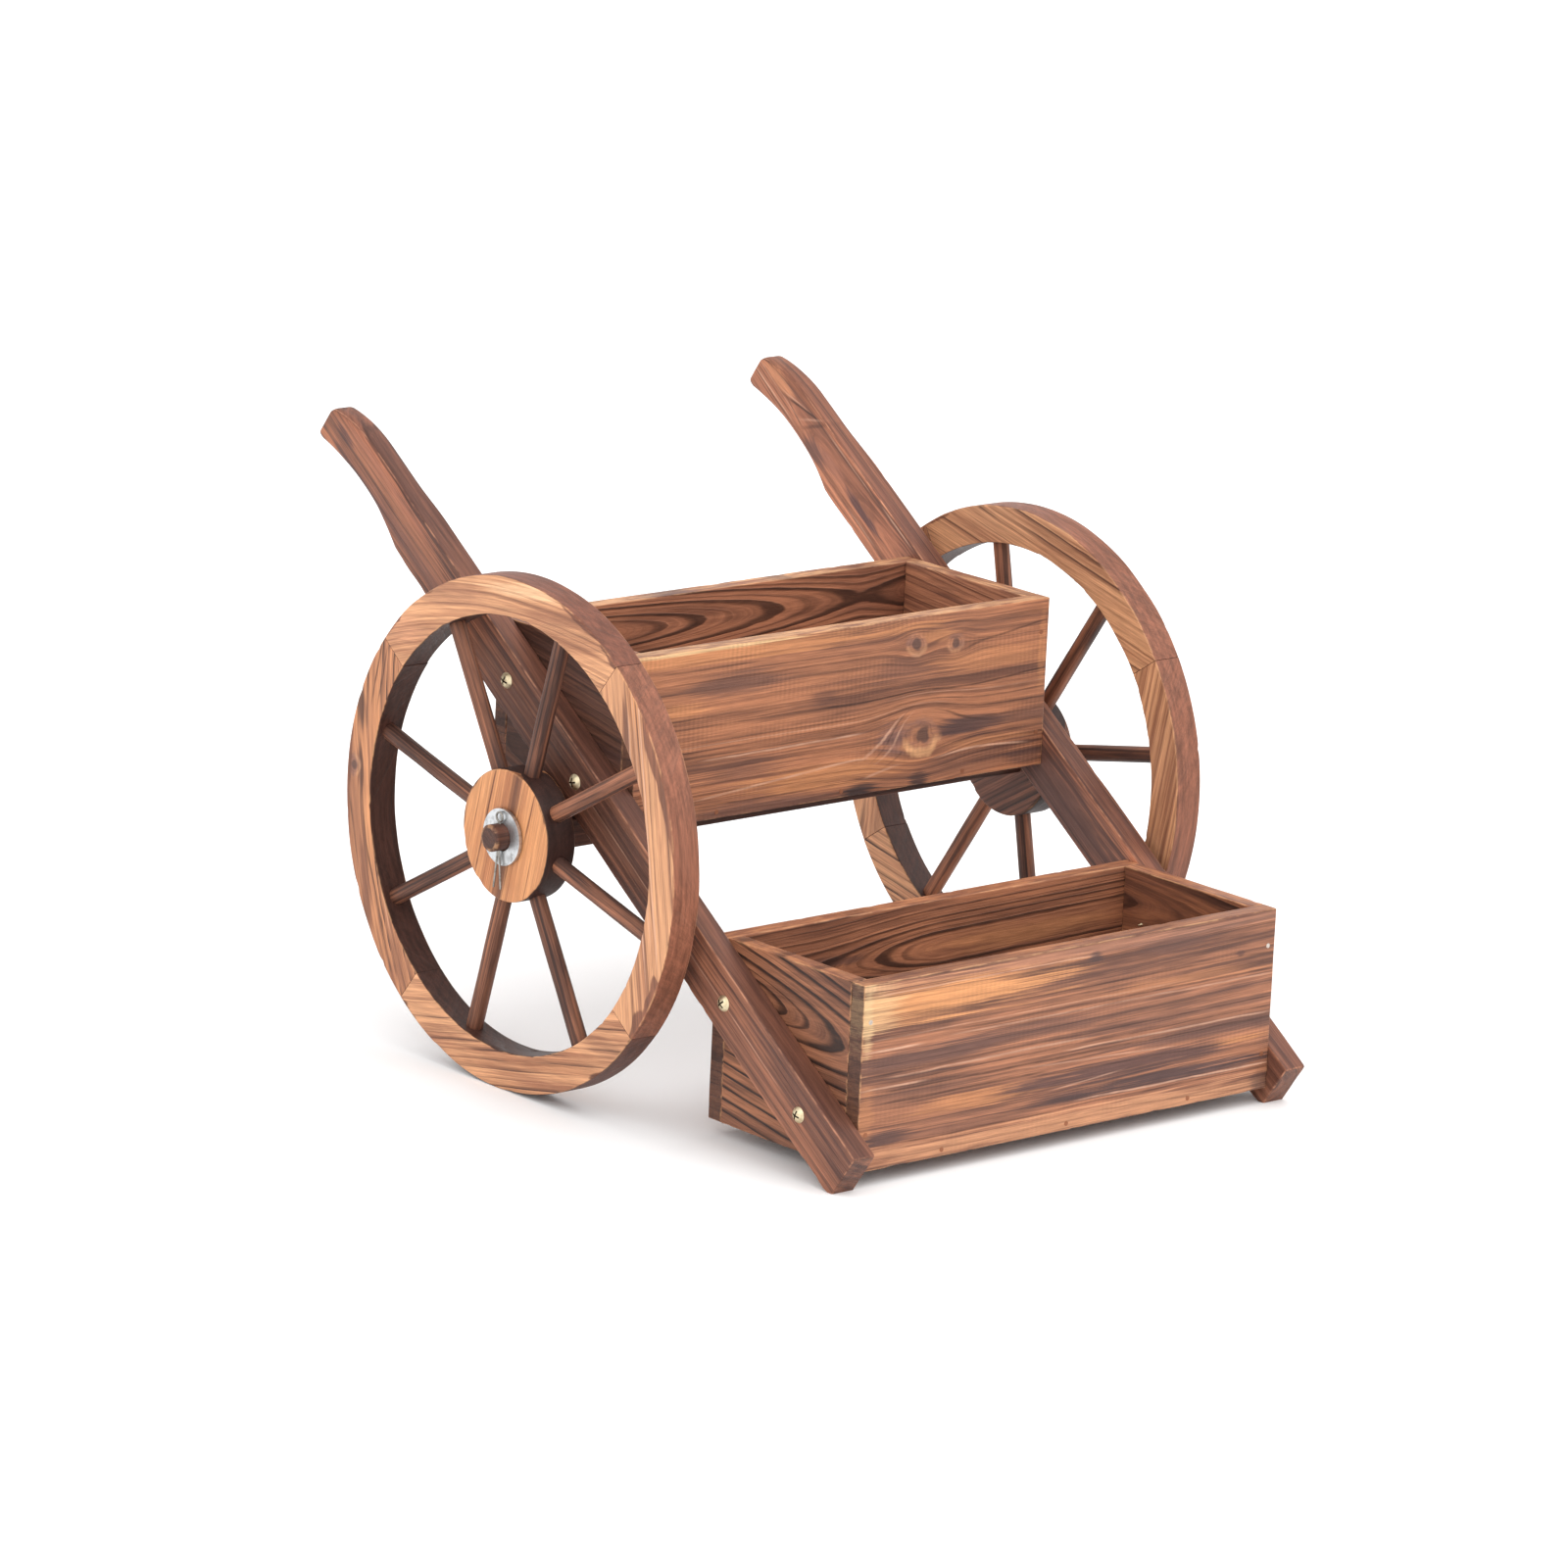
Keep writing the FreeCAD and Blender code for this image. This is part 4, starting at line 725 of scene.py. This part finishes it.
# painted shade: the dark patch 14 mm along darkens the rail's foot, and the dark patch 300 mm along darkens the part
# below the upper box
rail("right_rail", 200.0, 202,
     wood("fir_right_rail", 47.0, spacing=8.0, pith=(24, 4), slope=0.022, warp=2.4, line=0.65, width=0.30, rare=0.35, grain=0.8,
          tone=0.5, early=lin((192, 126, 94)), late=lin((122, 77, 60)), burn=0.34, burn_col=lin((84, 54, 48)), side=0.60,
          end=0.3, wear=0.7, wear_col=lin((208, 146, 112)), contrast=1.3,
          marks=((540, 39.5, 572, 39.5, 0.9, -0.80), (596, 38.0, 655, 38.0, 0.8, -0.45), (575, 36, 690, 36.5, 0.7, 0.5),
                 (560, 12.5, 640, 13, 0.8, 0.5), (568, 9.5, 600, 9.5, 0.8, -0.5), (672, 37.5, 709, 26, 1.1, 0.85),
                 (690, 33.5, 716, 26.5, 0.8, -0.5), (684, 19.5, 709, 25, 1.0, 0.65), (668, 36, 678, 25, 2.4, 0.85),
                 (674, 36, 684, 27, 1.6, -0.6), (700, 18.5, 750, 20.5, 0.7, 0.6), (700, 15, 750, 17, 0.8, -0.65),
                 (712, 11, 750, 13, 0.7, 0.6), (690, 22, 750, 24, 0.6, -0.35)),
          patches=((700, 21, 150, 32, -0.22, lin((196, 126, 94))), (594, 19, 22, 3.2, 0.90, lin((100, 68, 66))),
                   (661, 15, 16, 7, 0.80, lin((106, 74, 68))), (640, 22, 16, 6, 0.4, lin((130, 88, 78))),
                   (728, 29, 20, 6, -0.70, lin((210, 142, 102))), (560, 27, 26, 8, -0.40, lin((196, 126, 94))),
                   (14, 20, 46, 30, 0.60, lin((98, 64, 54))), (300, 14, 130, 30, 0.88, lin((94, 68, 63))))))


# ------------------------------------------------------------------- wheels
def felloe(name, body, x0, mid_deg, seed, mat):
    """A quarter of the rim, sawn from a plank along its chord."""
    mid = math.radians(mid_deg)
    half = math.radians(45.0) - 0.0003
    span = 2 * half * 175.5
    lo = np.array((-span / 2, 161.0, 0.0))
    hi = np.array((span / 2, 190.0, 24.0))
    p, q = grid_box(samples(lo[0], hi[0], 3.6), samples(lo[1], hi[1], 3.0), samples(lo[2], hi[2], 3.0))
    o, r = worn(p, lo, hi, 1.0, seed, chip=1.5, often=0.83, scale=9.0, axes=(0.06, 1.0, 1.0))
    # the sawn curves are not quite true
    rad = o[:, 1] + np.where(o[:, 1] > 175, -1, 1) * (0.5 * step(
        vnoise(np.stack([o[:, 0] / 26, o[:, 2] / 40, o[:, 2] * 0], 1), seed + 7), 0.3, 1.0)
        + 0.7 * step(vnoise(np.stack([o[:, 0] / 7, o[:, 2] / 9, o[:, 2] * 0], 1), seed + 8), 0.86, 0.98)
        * (o[:, 1] < 175))
    ang = mid - o[:, 0] / 175.5
    y = rad * np.cos(ang)
    z = rad * np.sin(ang)
    world = np.stack([x0 + o[:, 2], AXLE[0] + y, AXLE[1] + z], 1)
    eA = (0, math.cos(mid), math.sin(mid))
    eL = (0, math.sin(mid), -math.cos(mid))
    eD = X
    rel = world - np.array((x0, AXLE[0], AXLE[1]))
    m = np.array([eL, eA, eD], float)
    local = rel @ m.T
    if np.linalg.det(m) < 0:
        q = q[:, ::-1]
    long_edges = np.max(np.minimum(p - lo, hi - p)[:, 1:], axis=1)
    ob = piece(name + "_wood", world, q, local, long_edges, body, [name], mat)
    set_local_normals(ob, eL, eA, eD)
    return ob


def hub(name, body, x0, seed, mat, turn):
    """The hub block: a turned disc with a bore and eased edges."""
    n = 160
    prof = []                                   # (radius, x) round the section
    ease = 1.2
    for k in range(4):
        a = math.pi / 2 * k / 4
        prof.append((49 - ease + ease * math.sin(a), 0 + ease - ease * math.cos(a)))
    for xx in np.linspace(ease, 26 - ease, 8):
        prof.append((49.0, xx))
    for k in range(1, 5):
        a = math.pi / 2 * k / 4
        prof.append((49 - ease + ease * math.cos(a), 26 - ease + ease * math.sin(a)))
    for rr in np.linspace(49 - ease, 10.1, 14)[1:]:
        prof.append((rr, 26.0))
    for xx in np.linspace(26, 0, 6)[1:]:
        prof.append((10.1, xx))
    for rr in np.linspace(10.1, 49 - ease, 14)[1:-1]:
        prof.append((rr, 0.0))
    prof = np.array(prof)
    k = len(prof)
    ang = np.arange(n) * 2 * math.pi / n
    R, A = np.meshgrid(prof[:, 0], ang, indexing="ij")
    Xc = np.repeat(prof[:, 1][:, None], n, 1)
    pts = np.stack([Xc, R * np.cos(A), R * np.sin(A)], -1).reshape(-1, 3)
    rim = R.reshape(-1) > 47.5
    chips = step(vnoise(pts / 7.0, seed), 0.66, 0.85) * 0.9 + 0.4 * vnoise(pts / 15.0, seed + 1)
    corner = np.maximum(0, 1 - np.minimum(Xc.reshape(-1), 26 - Xc.reshape(-1)) / 2.4) * rim
    scale = 1 - (chips * corner) / 49.0
    pts[:, 1] *= scale
    pts[:, 2] *= scale
    i = np.arange(k)[:, None]
    j = np.arange(n)[None, :]
    i2, j2 = (i + 1) % k, (j + 1) % n
    quads = np.stack([i * n + j, i2 * n + j, i2 * n + j2, i * n + j2], -1).reshape(-1, 4)
    world = pts + np.array((x0, AXLE[0], AXLE[1]))
    c, s = math.cos(turn), math.sin(turn)
    eL, eA, eD = (0, c, s), (0, -s, c), X
    local = pts @ np.array([eL, eA, eD], float).T
    dist = np.hypot(np.maximum(0, 49 - R.reshape(-1)), np.minimum(Xc.reshape(-1), 26 - Xc.reshape(-1)))
    ob = piece(name + "_wood", world, quads, local, dist, body, [name], mat)
    set_local_normals(ob, eL, eA, eD)
    return ob


def spoke(name, body, xm, deg, seed, mat):
    """A dowel, a little flattened by sanding, from the hub into the rim."""
    n = 28
    rs = np.concatenate([[42.0, 42.0, 43.0], np.linspace(46, 158, 42), [161.5, 164.0, 164.0]])
    rad = np.full(len(rs), 6.5)
    rad[0] = 0.0
    rad[1] = 5.9
    rad[-1] = 0.0
    rad[-2] = 6.0
    a = np.arange(n) * 2 * math.pi / n
    S, A = np.meshgrid(rs, a, indexing="ij")
    Q = np.repeat(rad[:, None], n, 1)
    pt = np.stack([S / 30, np.cos(A) * 1.2, np.sin(A) * 1.2], -1).reshape(-1, 3)
    Q = Q * (1 - 0.055 * vnoise(pt, seed).reshape(Q.shape) - 0.035 * np.maximum(0, np.cos(2 * A + seed)) ** 3)
    loc = np.stack([S, Q * np.cos(A), Q * np.sin(A)], -1)
    rows = len(rs)
    loc = loc.reshape(-1, 3)
    keep = [0] + list(range(n, (rows - 1) * n)) + [(rows - 1) * n]
    remap = {old: new for new, old in enumerate(keep)}
    faces = []
    for jj in range(n):
        j2 = (jj + 1) % n
        faces.append((0, remap[n + j2], remap[n + jj]))
        last = remap[(rows - 1) * n]
        faces.append((last, remap[(rows - 2) * n + jj], remap[(rows - 2) * n + j2]))
        for ii in range(1, rows - 2):
            faces.append((remap[ii * n + jj], remap[ii * n + j2], remap[(ii + 1) * n + j2], remap[(ii + 1) * n + jj]))
    loc = loc[keep]
    t = math.radians(deg)
    eL, eD = (0, math.cos(t), math.sin(t)), X
    eA = (0, -math.sin(t), math.cos(t))
    m = np.array([eL, eA, eD], float)
    world = loc @ m + np.array((xm, AXLE[0], AXLE[1]))
    if np.linalg.det(m) < 0:
        faces = [tuple(reversed(f)) for f in faces]
    ob = piece(name + "_wood", world, faces, loc, np.full(len(loc), 9.0), body, [name], mat)
    set_local_normals(ob, eL, eA, eD)
    return ob


RIM = dict(side=1.0, tread=lin((150, 101, 80)), inside=lin((78, 52, 44)), end=0.0, wear=0.45, rim_burn=5.0,
           early=lin((218, 160, 118)), late=lin((166, 112, 82)), dark=lin((112, 72, 54)), burn_col=lin((124, 80, 62)),
           width=0.30, rare=0.35, grain=1.0, calm=0.08)
rims = {
    ("left", "top"): dict(seed=61, bright=0.97, tread=lin((134, 88, 71)), spacing=4.6, pith=(60, 26), bow=0.0010, tilt=0.05, warp=2.2, line=0.60, tone=0.36, burn=0.16,
                          rim_burn=6.0, rim_low=0.42, dark=lin((104, 66, 50)),
                          patches=((-50, 181, 52, 5, -0.85, lin((236, 188, 146))), (-78, 163, 44, 6, 0.55, lin((158, 106, 80))),
                                   (60, 172, 50, 9, 0.40, lin((172, 118, 92))), (118, 142, 26, 10, -0.4, lin((214, 152, 118))))),
    ("left", "front"): dict(seed=64, spacing=8.6, pith=(60, 24), slope=0.03, tilt=-0.05, warp=2.4, line=0.85, tone=0.38, burn=0.20,
                            width=0.22, rim_burn=10.0, rim_low=0.37, dark=lin((96, 62, 48)),
                            marks=((-75, 166.5, 118, 157, 0.9, -0.90), (-60, 160, 125, 150, 0.7, -0.65), (-90, 153, 100, 145.5, 0.9, -0.75),
                                   (-45, 163.2, 112, 154, 0.8, 0.75), (-30, 157, 120, 148, 0.8, 0.65), (-80, 171, 70, 165, 0.8, 0.65),
                                   (-110, 147, 20, 142, 0.8, 0.6), (-128, 137, 0, 139, 0.8, 0.6), (-40, 150, 60, 147.5, 0.6, 0.5)),
                            patches=((84, 141, 24, 3.5, 0.75, lin((112, 72, 56))), (112, 152, 22, 8, -0.45, lin((226, 158, 106))),
                                     (-100, 150, 30, 9, 0.35, lin((160, 106, 80))))),
    # painted shade: the bottom felloe's tread, facing the floor, is coloured darker than the others
    ("left", "bottom"): dict(seed=67, tread=lin((104, 68, 56)), spacing=6.6, pith=(70, 20), tilt=-0.07, warp=3.0, line=1.0, tone=0.50, burn=0.30,
                             dark=lin((78, 49, 40)), patches=((112, 146, 30, 8, 0.55, lin((128, 84, 66))), (-95, 158, 36, 8, 0.45, lin((146, 96, 74))),
                                                              (20, 178, 50, 5, 0.35, lin((156, 104, 80))), (60, 164, 40, 5, -0.4, lin((222, 160, 116))))),
    ("left", "rear"): dict(seed=71, spacing=7.0, pith=(60, 24, -33), bow=0.0011, warp=3.4, line=1.1, tone=0.56, burn=0.36, width=0.34,
                           knots=((-36, 178, 8.0, 2.2, 0.4),), dark=lin((62, 40, 34)), early=lin((204, 140, 98)),
                           marks=((26, 167, 92, 150, 1.1, 0.8), (20, 160, 84, 144, 0.8, -0.6), (-132, 137, -88, 152, 1.0, 0.8),
                                  (-124, 132, -84, 146, 0.9, 0.7), (-16, 172, 40, 166, 1.0, 0.6)),
                           patches=((-82, 166, 18, 7, 0.85, lin((84, 56, 47))), (-34, 170, 18, 4, 0.8, lin((92, 60, 48))), (60, 170, 44, 5, 0.6, lin((118, 76, 60))),
                                    (112, 138, 22, 10, 0.5, lin((132, 86, 66))), (20, 164, 30, 4, -0.5, lin((222, 154, 106))))),
    ("right", "top"): dict(seed=75, bright=0.96, spacing=6.4, pith=(70, 24), tilt=0.05, warp=2.4, line=0.95, width=0.42, tone=0.44, burn=0.24, dark=lin((88, 56, 44)), contrast=1.35),
    ("right", "front"): dict(seed=79, bright=0.96, spacing=6.6, pith=(90, 26), warp=2.6, line=0.50, width=0.30, tone=0.5, burn=0.30, dark=lin((100, 64, 50)), contrast=1.2),
    ("right", "bottom"): dict(seed=83, spacing=7.5, pith=(80, 22), warp=2.0, line=1.1, tone=0.6, burn=0.35, dark=lin((66, 42, 35))),
    ("right", "rear"): dict(seed=87, spacing=8.0, pith=(120, 14), slope=0.08, warp=2.6, line=1.1, tone=0.55, burn=0.35,
                            dark=lin((66, 42, 35))),
}
dowels = [wood("fir_dowel_%d" % (k + 1), 121.0 + k * 7, spacing=4.4, pith=(9, 4), warp=1.2, line=0.8, width=0.4,
               tone=(0.54, 0.84, 0.66, 0.46, 0.76)[k], early=lin((164, 106, 78)), late=lin((76, 50, 42)), burn=0.64,
               burn_col=lin((56, 38, 34)), side=0.0, end=0.0, wear=0.0, contrast=1.3) for k in range(5)]
for side, turn, x0 in (("left", 15.5, -256.0), ("right", 34.0, 232.0)):
    body = side + "_wheel"
    for k, which in enumerate(("top", "front", "bottom", "rear")):
        par = dict(RIM)
        par.update(rims[(side, which)])
        seed = par.pop("seed")
        nm = "%s_felloe_%s" % (side, which)
        felloe(nm, body, x0, turn + 67.5 + 90 * k, seed, wood("fir_" + nm, float(seed), **par))
    if side == "left":
        hubwood = wood("fir_left_hub", 91.0, spacing=60.0, pith=(-110, 20), jit=0.0, weak=0.0, warp=2.5, line=0.9, width=0.05, tone=0.26, grain=0.7,
                       marks=((-44, -25, 46, -22, 0.9, 0.9), (-48, 8, 44, 11, 0.7, 0.65), (6, 22, 42, 24, 0.8, 0.85),
                              (-42, 31, -6, 32, 0.7, 0.6), (-20, -36, 30, -35, 0.6, 0.5)),
                       burn=0.0, early=lin((212, 148, 100)), late=lin((172, 110, 74)), dark=lin((92, 52, 36)),
                       side=1.0, tread=lin((62, 41, 36)), end=0.0, wear=0.35, checks=0.0, rim_burn=2.5, creep_from=40.0)
    else:
        # painted shade: the far hub is coloured darker than the near one, as its face is seen below the upper box
        hubwood = wood("fir_right_hub", 97.0, spacing=5.0, pith=(-70, 40), warp=2.4, line=1.2, width=0.5, tone=0.7,
                       burn=0.5, early=lin((146, 96, 74)), late=lin((108, 70, 58)), side=1.0,
                       tread=lin((62, 41, 36)), end=0.0, wear=0.35, rim_burn=2.5, creep_from=40.0)
    hub(side + "_hub", body, x0 - 1.0, 300 + int(turn), hubwood, math.radians(102 if side == "left" else 150))
    for k in range(8):
        nm = "%s_spoke_%d" % (side, k + 1)
        spoke(nm, body, x0 + 12.0, turn + 45 * k, 400 + k, dowels[(k + (0 if side == "left" else 2)) % 5])


# --------------------------------------------------------------------- axle
def axle(mat):
    """The beam across the cart, turned round at both ends."""
    r = 1.3
    hy, hz = 20.0, 11.0
    loop = []
    for cx, cz, a0 in ((hy - r, hz - r, 0.0), (-hy + r, hz - r, 90.0), (-hy + r, -hz + r, 180.0), (hy - r, -hz + r, 270.0)):
        for k in range(4):
            a = math.radians(a0 + 30 * k)
            loop.append((cx + r * math.cos(a), cz + r * math.sin(a)))
        nxt = a0 + 90
    dense = []
    for k in range(len(loop)):
        a, b = np.array(loop[k]), np.array(loop[(k + 1) % len(loop)])
        n = max(1, int(round(np.linalg.norm(b - a) / 2.6)))
        for j in range(n):
            dense.append(a + (b - a) * j / n)
    rect = np.array(dense)
    phi = np.arctan2(rect[:, 1], rect[:, 0])
    circ = np.stack([np.cos(phi), np.sin(phi)], 1)
    n = len(rect)
    rings, edge = [], []

    def ring(x, shape, e):
        rings.append(np.column_stack([np.full(n, x), shape]))
        edge.append(np.full(n, e))

    for s in (-1, 1):
        outer = [(272.0, 8.0, 0.2), (271.7, 8.9, 0.0), (271.2, 9.6, 0.0), (270.6, 10.0, 0.4)]
        outer += [(x, 10.0, 2.0) for x in np.linspace(268, 231, 12)] + [(230.0, 10.0, 4.0)]
        stack = [(s * x, circ * rr, e) for x, rr, e in outer]
        stack += [(s * 230.0, rect * 0.94, 1.0), (s * 229.6, rect * 0.985, 0.2), (s * 228.6, rect, 0.6)]
        if s > 0:
            stack = stack[::-1]
        for x, shp, e in stack:
            ring(x, shp, e)
        if s < 0:
            for x in np.linspace(-226, 226, 90):
                ring(x, rect, 2.0)
    pts = np.concatenate(rings)
    k = len(rings)
    i = np.arange(k - 1)[:, None]
    j = np.arange(n)[None, :]
    j2 = (j + 1) % n
    quads = np.stack([i * n + j, i * n + j2, (i + 1) * n + j2, (i + 1) * n + j], -1).reshape(-1, 4).tolist()
    # ends: concentric loops to a small middle face
    for which, s in ((0, -1), (k - 1, 1)):
        prev = which * n
        for rr in (6.0, 4.0, 2.0):
            start = len(pts)
            pts = np.concatenate([pts, np.column_stack([np.full(n, s * 272.0), circ * rr])])
            edge.append(np.full(n, 3.0))
            for jj in range(n):
                a, b, c, d = prev + jj, prev + (jj + 1) % n, start + (jj + 1) % n, start + jj
                quads.append((a, d, c, b) if s < 0 else (a, b, c, d))
            prev = start
        cap = [prev + jj for jj in range(n)]
        quads.append(cap[::-1] if s < 0 else cap)
    edge = np.concatenate(edge)
    dist = np.minimum(edge, 9.0)
    world = pts + np.array((0, AXLE[0], AXLE[1]))
    eL, eA, eD = X, Z, Y
    local = pts[:, [0, 2, 1]]
    ob = piece("axle_beam_wood", world, quads, local, dist, "frame", ["axle_beam"], mat)
    set_local_normals(ob, eL, eA, eD)
    return ob


axle(wood("fir_axle", 151.0, spacing=6.0, pith=(20, 12), warp=4, line=0.7, width=0.4, tone=0.8, early=lin((116, 74, 57)),
          late=lin((78, 51, 43)), burn=0.5, side=0.3, end=0.4, wear=0.4))

# ----------------------------------------------------------------- hardware
brass = metal("plated_brass", lin((220, 206, 172)), lin((178, 152, 110)), 3.0, rough=0.34, tarnish=0.4, recess=0.222)
steel = metal("zinc_steel", lin((206, 208, 210)), lin((150, 150, 150)), 7.0, rough=0.34)
pin_steel = metal("pin_steel", lin((160, 156, 150)), lin((96, 86, 78)), 9.0, rough=0.42)
nail_mat = metal("nail_steel_dull", lin((214, 208, 200)), lin((150, 130, 112)), 11.0, rough=0.48, stained=True)
HARD = {"left_rail_screws": brass, "right_rail_screws": brass, "beam_screws": steel, "left_washer": steel,
        "right_washer": steel, "left_split_pin": pin_steel, "right_split_pin": pin_steel,
        "lower_box_nails": nail_mat, "upper_box_nails": nail_mat}
for n, mt in HARD.items():
    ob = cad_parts[n]
    ob.data.materials.clear()
    ob.data.materials.append(mt)
    for pgon in ob.data.polygons:
        pgon.material_index = 0

# ------------------------------------------------------- floor, light, camera
floor_me = bpy.data.meshes.new("floor")
floor_me.from_pydata([(-30, -30, 0), (30, -30, 0), (30, 30, 0), (-30, 30, 0)], [], [(0, 1, 2, 3)])
floor = bpy.data.objects.new("floor", floor_me)
bpy.context.scene.collection.objects.link(floor)
fm = bpy.data.materials.new("pale_floor")
fm.use_nodes = True
ft = Tree(fm)
fp = ft.node("ShaderNodeBsdfPrincipled")
fc = ft.noise(ft.node("ShaderNodeTexCoord").outputs["Object"], (3.0, 3.0, 3.0), 1.0, 3.0)
ft.put(fp.inputs["Base Color"], ft.mix(fc, (0.93, 0.93, 0.93, 1), (0.95, 0.95, 0.95, 1)))
fp.inputs["Roughness"].default_value = 0.9
fp.inputs["Specular IOR Level"].default_value = 0.2
fo = ft.node("ShaderNodeOutputMaterial")
ft.t.links.new(fp.outputs[0], fo.inputs[0])
floor_me.materials.append(fm)

world = bpy.data.worlds.new("studio")
bpy.context.scene.world = world
world.use_nodes = True
bg = world.node_tree.nodes["Background"]
bg.inputs[0].default_value = (1.0, 1.0, 1.0, 1)
bg.inputs[1].default_value = 1.12


def sun(name, direction, strength, angle, colour=(1, 1, 1)):
    ld = bpy.data.lights.new(name, "SUN")
    ld.energy = strength
    ld.angle = math.radians(angle)
    ld.color = colour
    ob = bpy.data.objects.new(name, ld)
    bpy.context.scene.collection.objects.link(ob)
    ob.rotation_mode = "QUATERNION"
    ob.rotation_quaternion = Vector(direction).to_track_quat("-Z", "Y")
    return ob


sun("key", (-0.30, 0.62, -0.95), 1.22, 60)
sun("left_fill", (0.80, 0.35, -0.60), 0.72, 70)

# camera: the photograph's viewing angle and lens
AZ, EL, ROLL = -0.718434978, 0.245693906, 0.045234838
F_PX, DIST = 7858.8478, 6.558943
TGT = Vector((0.532878656, 0.599709847 + 0.034913, -0.005576421))
back = Vector((math.sin(AZ) * math.cos(EL), -math.cos(AZ) * math.cos(EL), math.sin(EL)))
right = (-back).cross(Vector((0, 0, 1))).normalized()
up = right.cross(-back)
cx = math.cos(ROLL) * right + math.sin(ROLL) * up
cy = -math.sin(ROLL) * right + math.cos(ROLL) * up
cd = bpy.data.cameras.new("photo_camera")
cd.sensor_width = 36.0
cd.lens = F_PX / 1600.0 * 36.0
cd.clip_start, cd.clip_end = 0.1, 200.0
cam = bpy.data.objects.new("photo_camera", cd)
bpy.context.scene.collection.objects.link(cam)
cam.matrix_world = Matrix((
    (cx.x, cy.x, back.x, TGT.x + back.x * DIST),
    (cx.y, cy.y, back.y, TGT.y + back.y * DIST),
    (cx.z, cy.z, back.z, TGT.z + back.z * DIST),
    (0, 0, 0, 1)))
bpy.context.scene.camera = cam

vs = bpy.context.scene.view_settings
vs.view_transform = "Standard"
vs.look = "None"
vs.exposure = 0.0
vs.gamma = 1.0
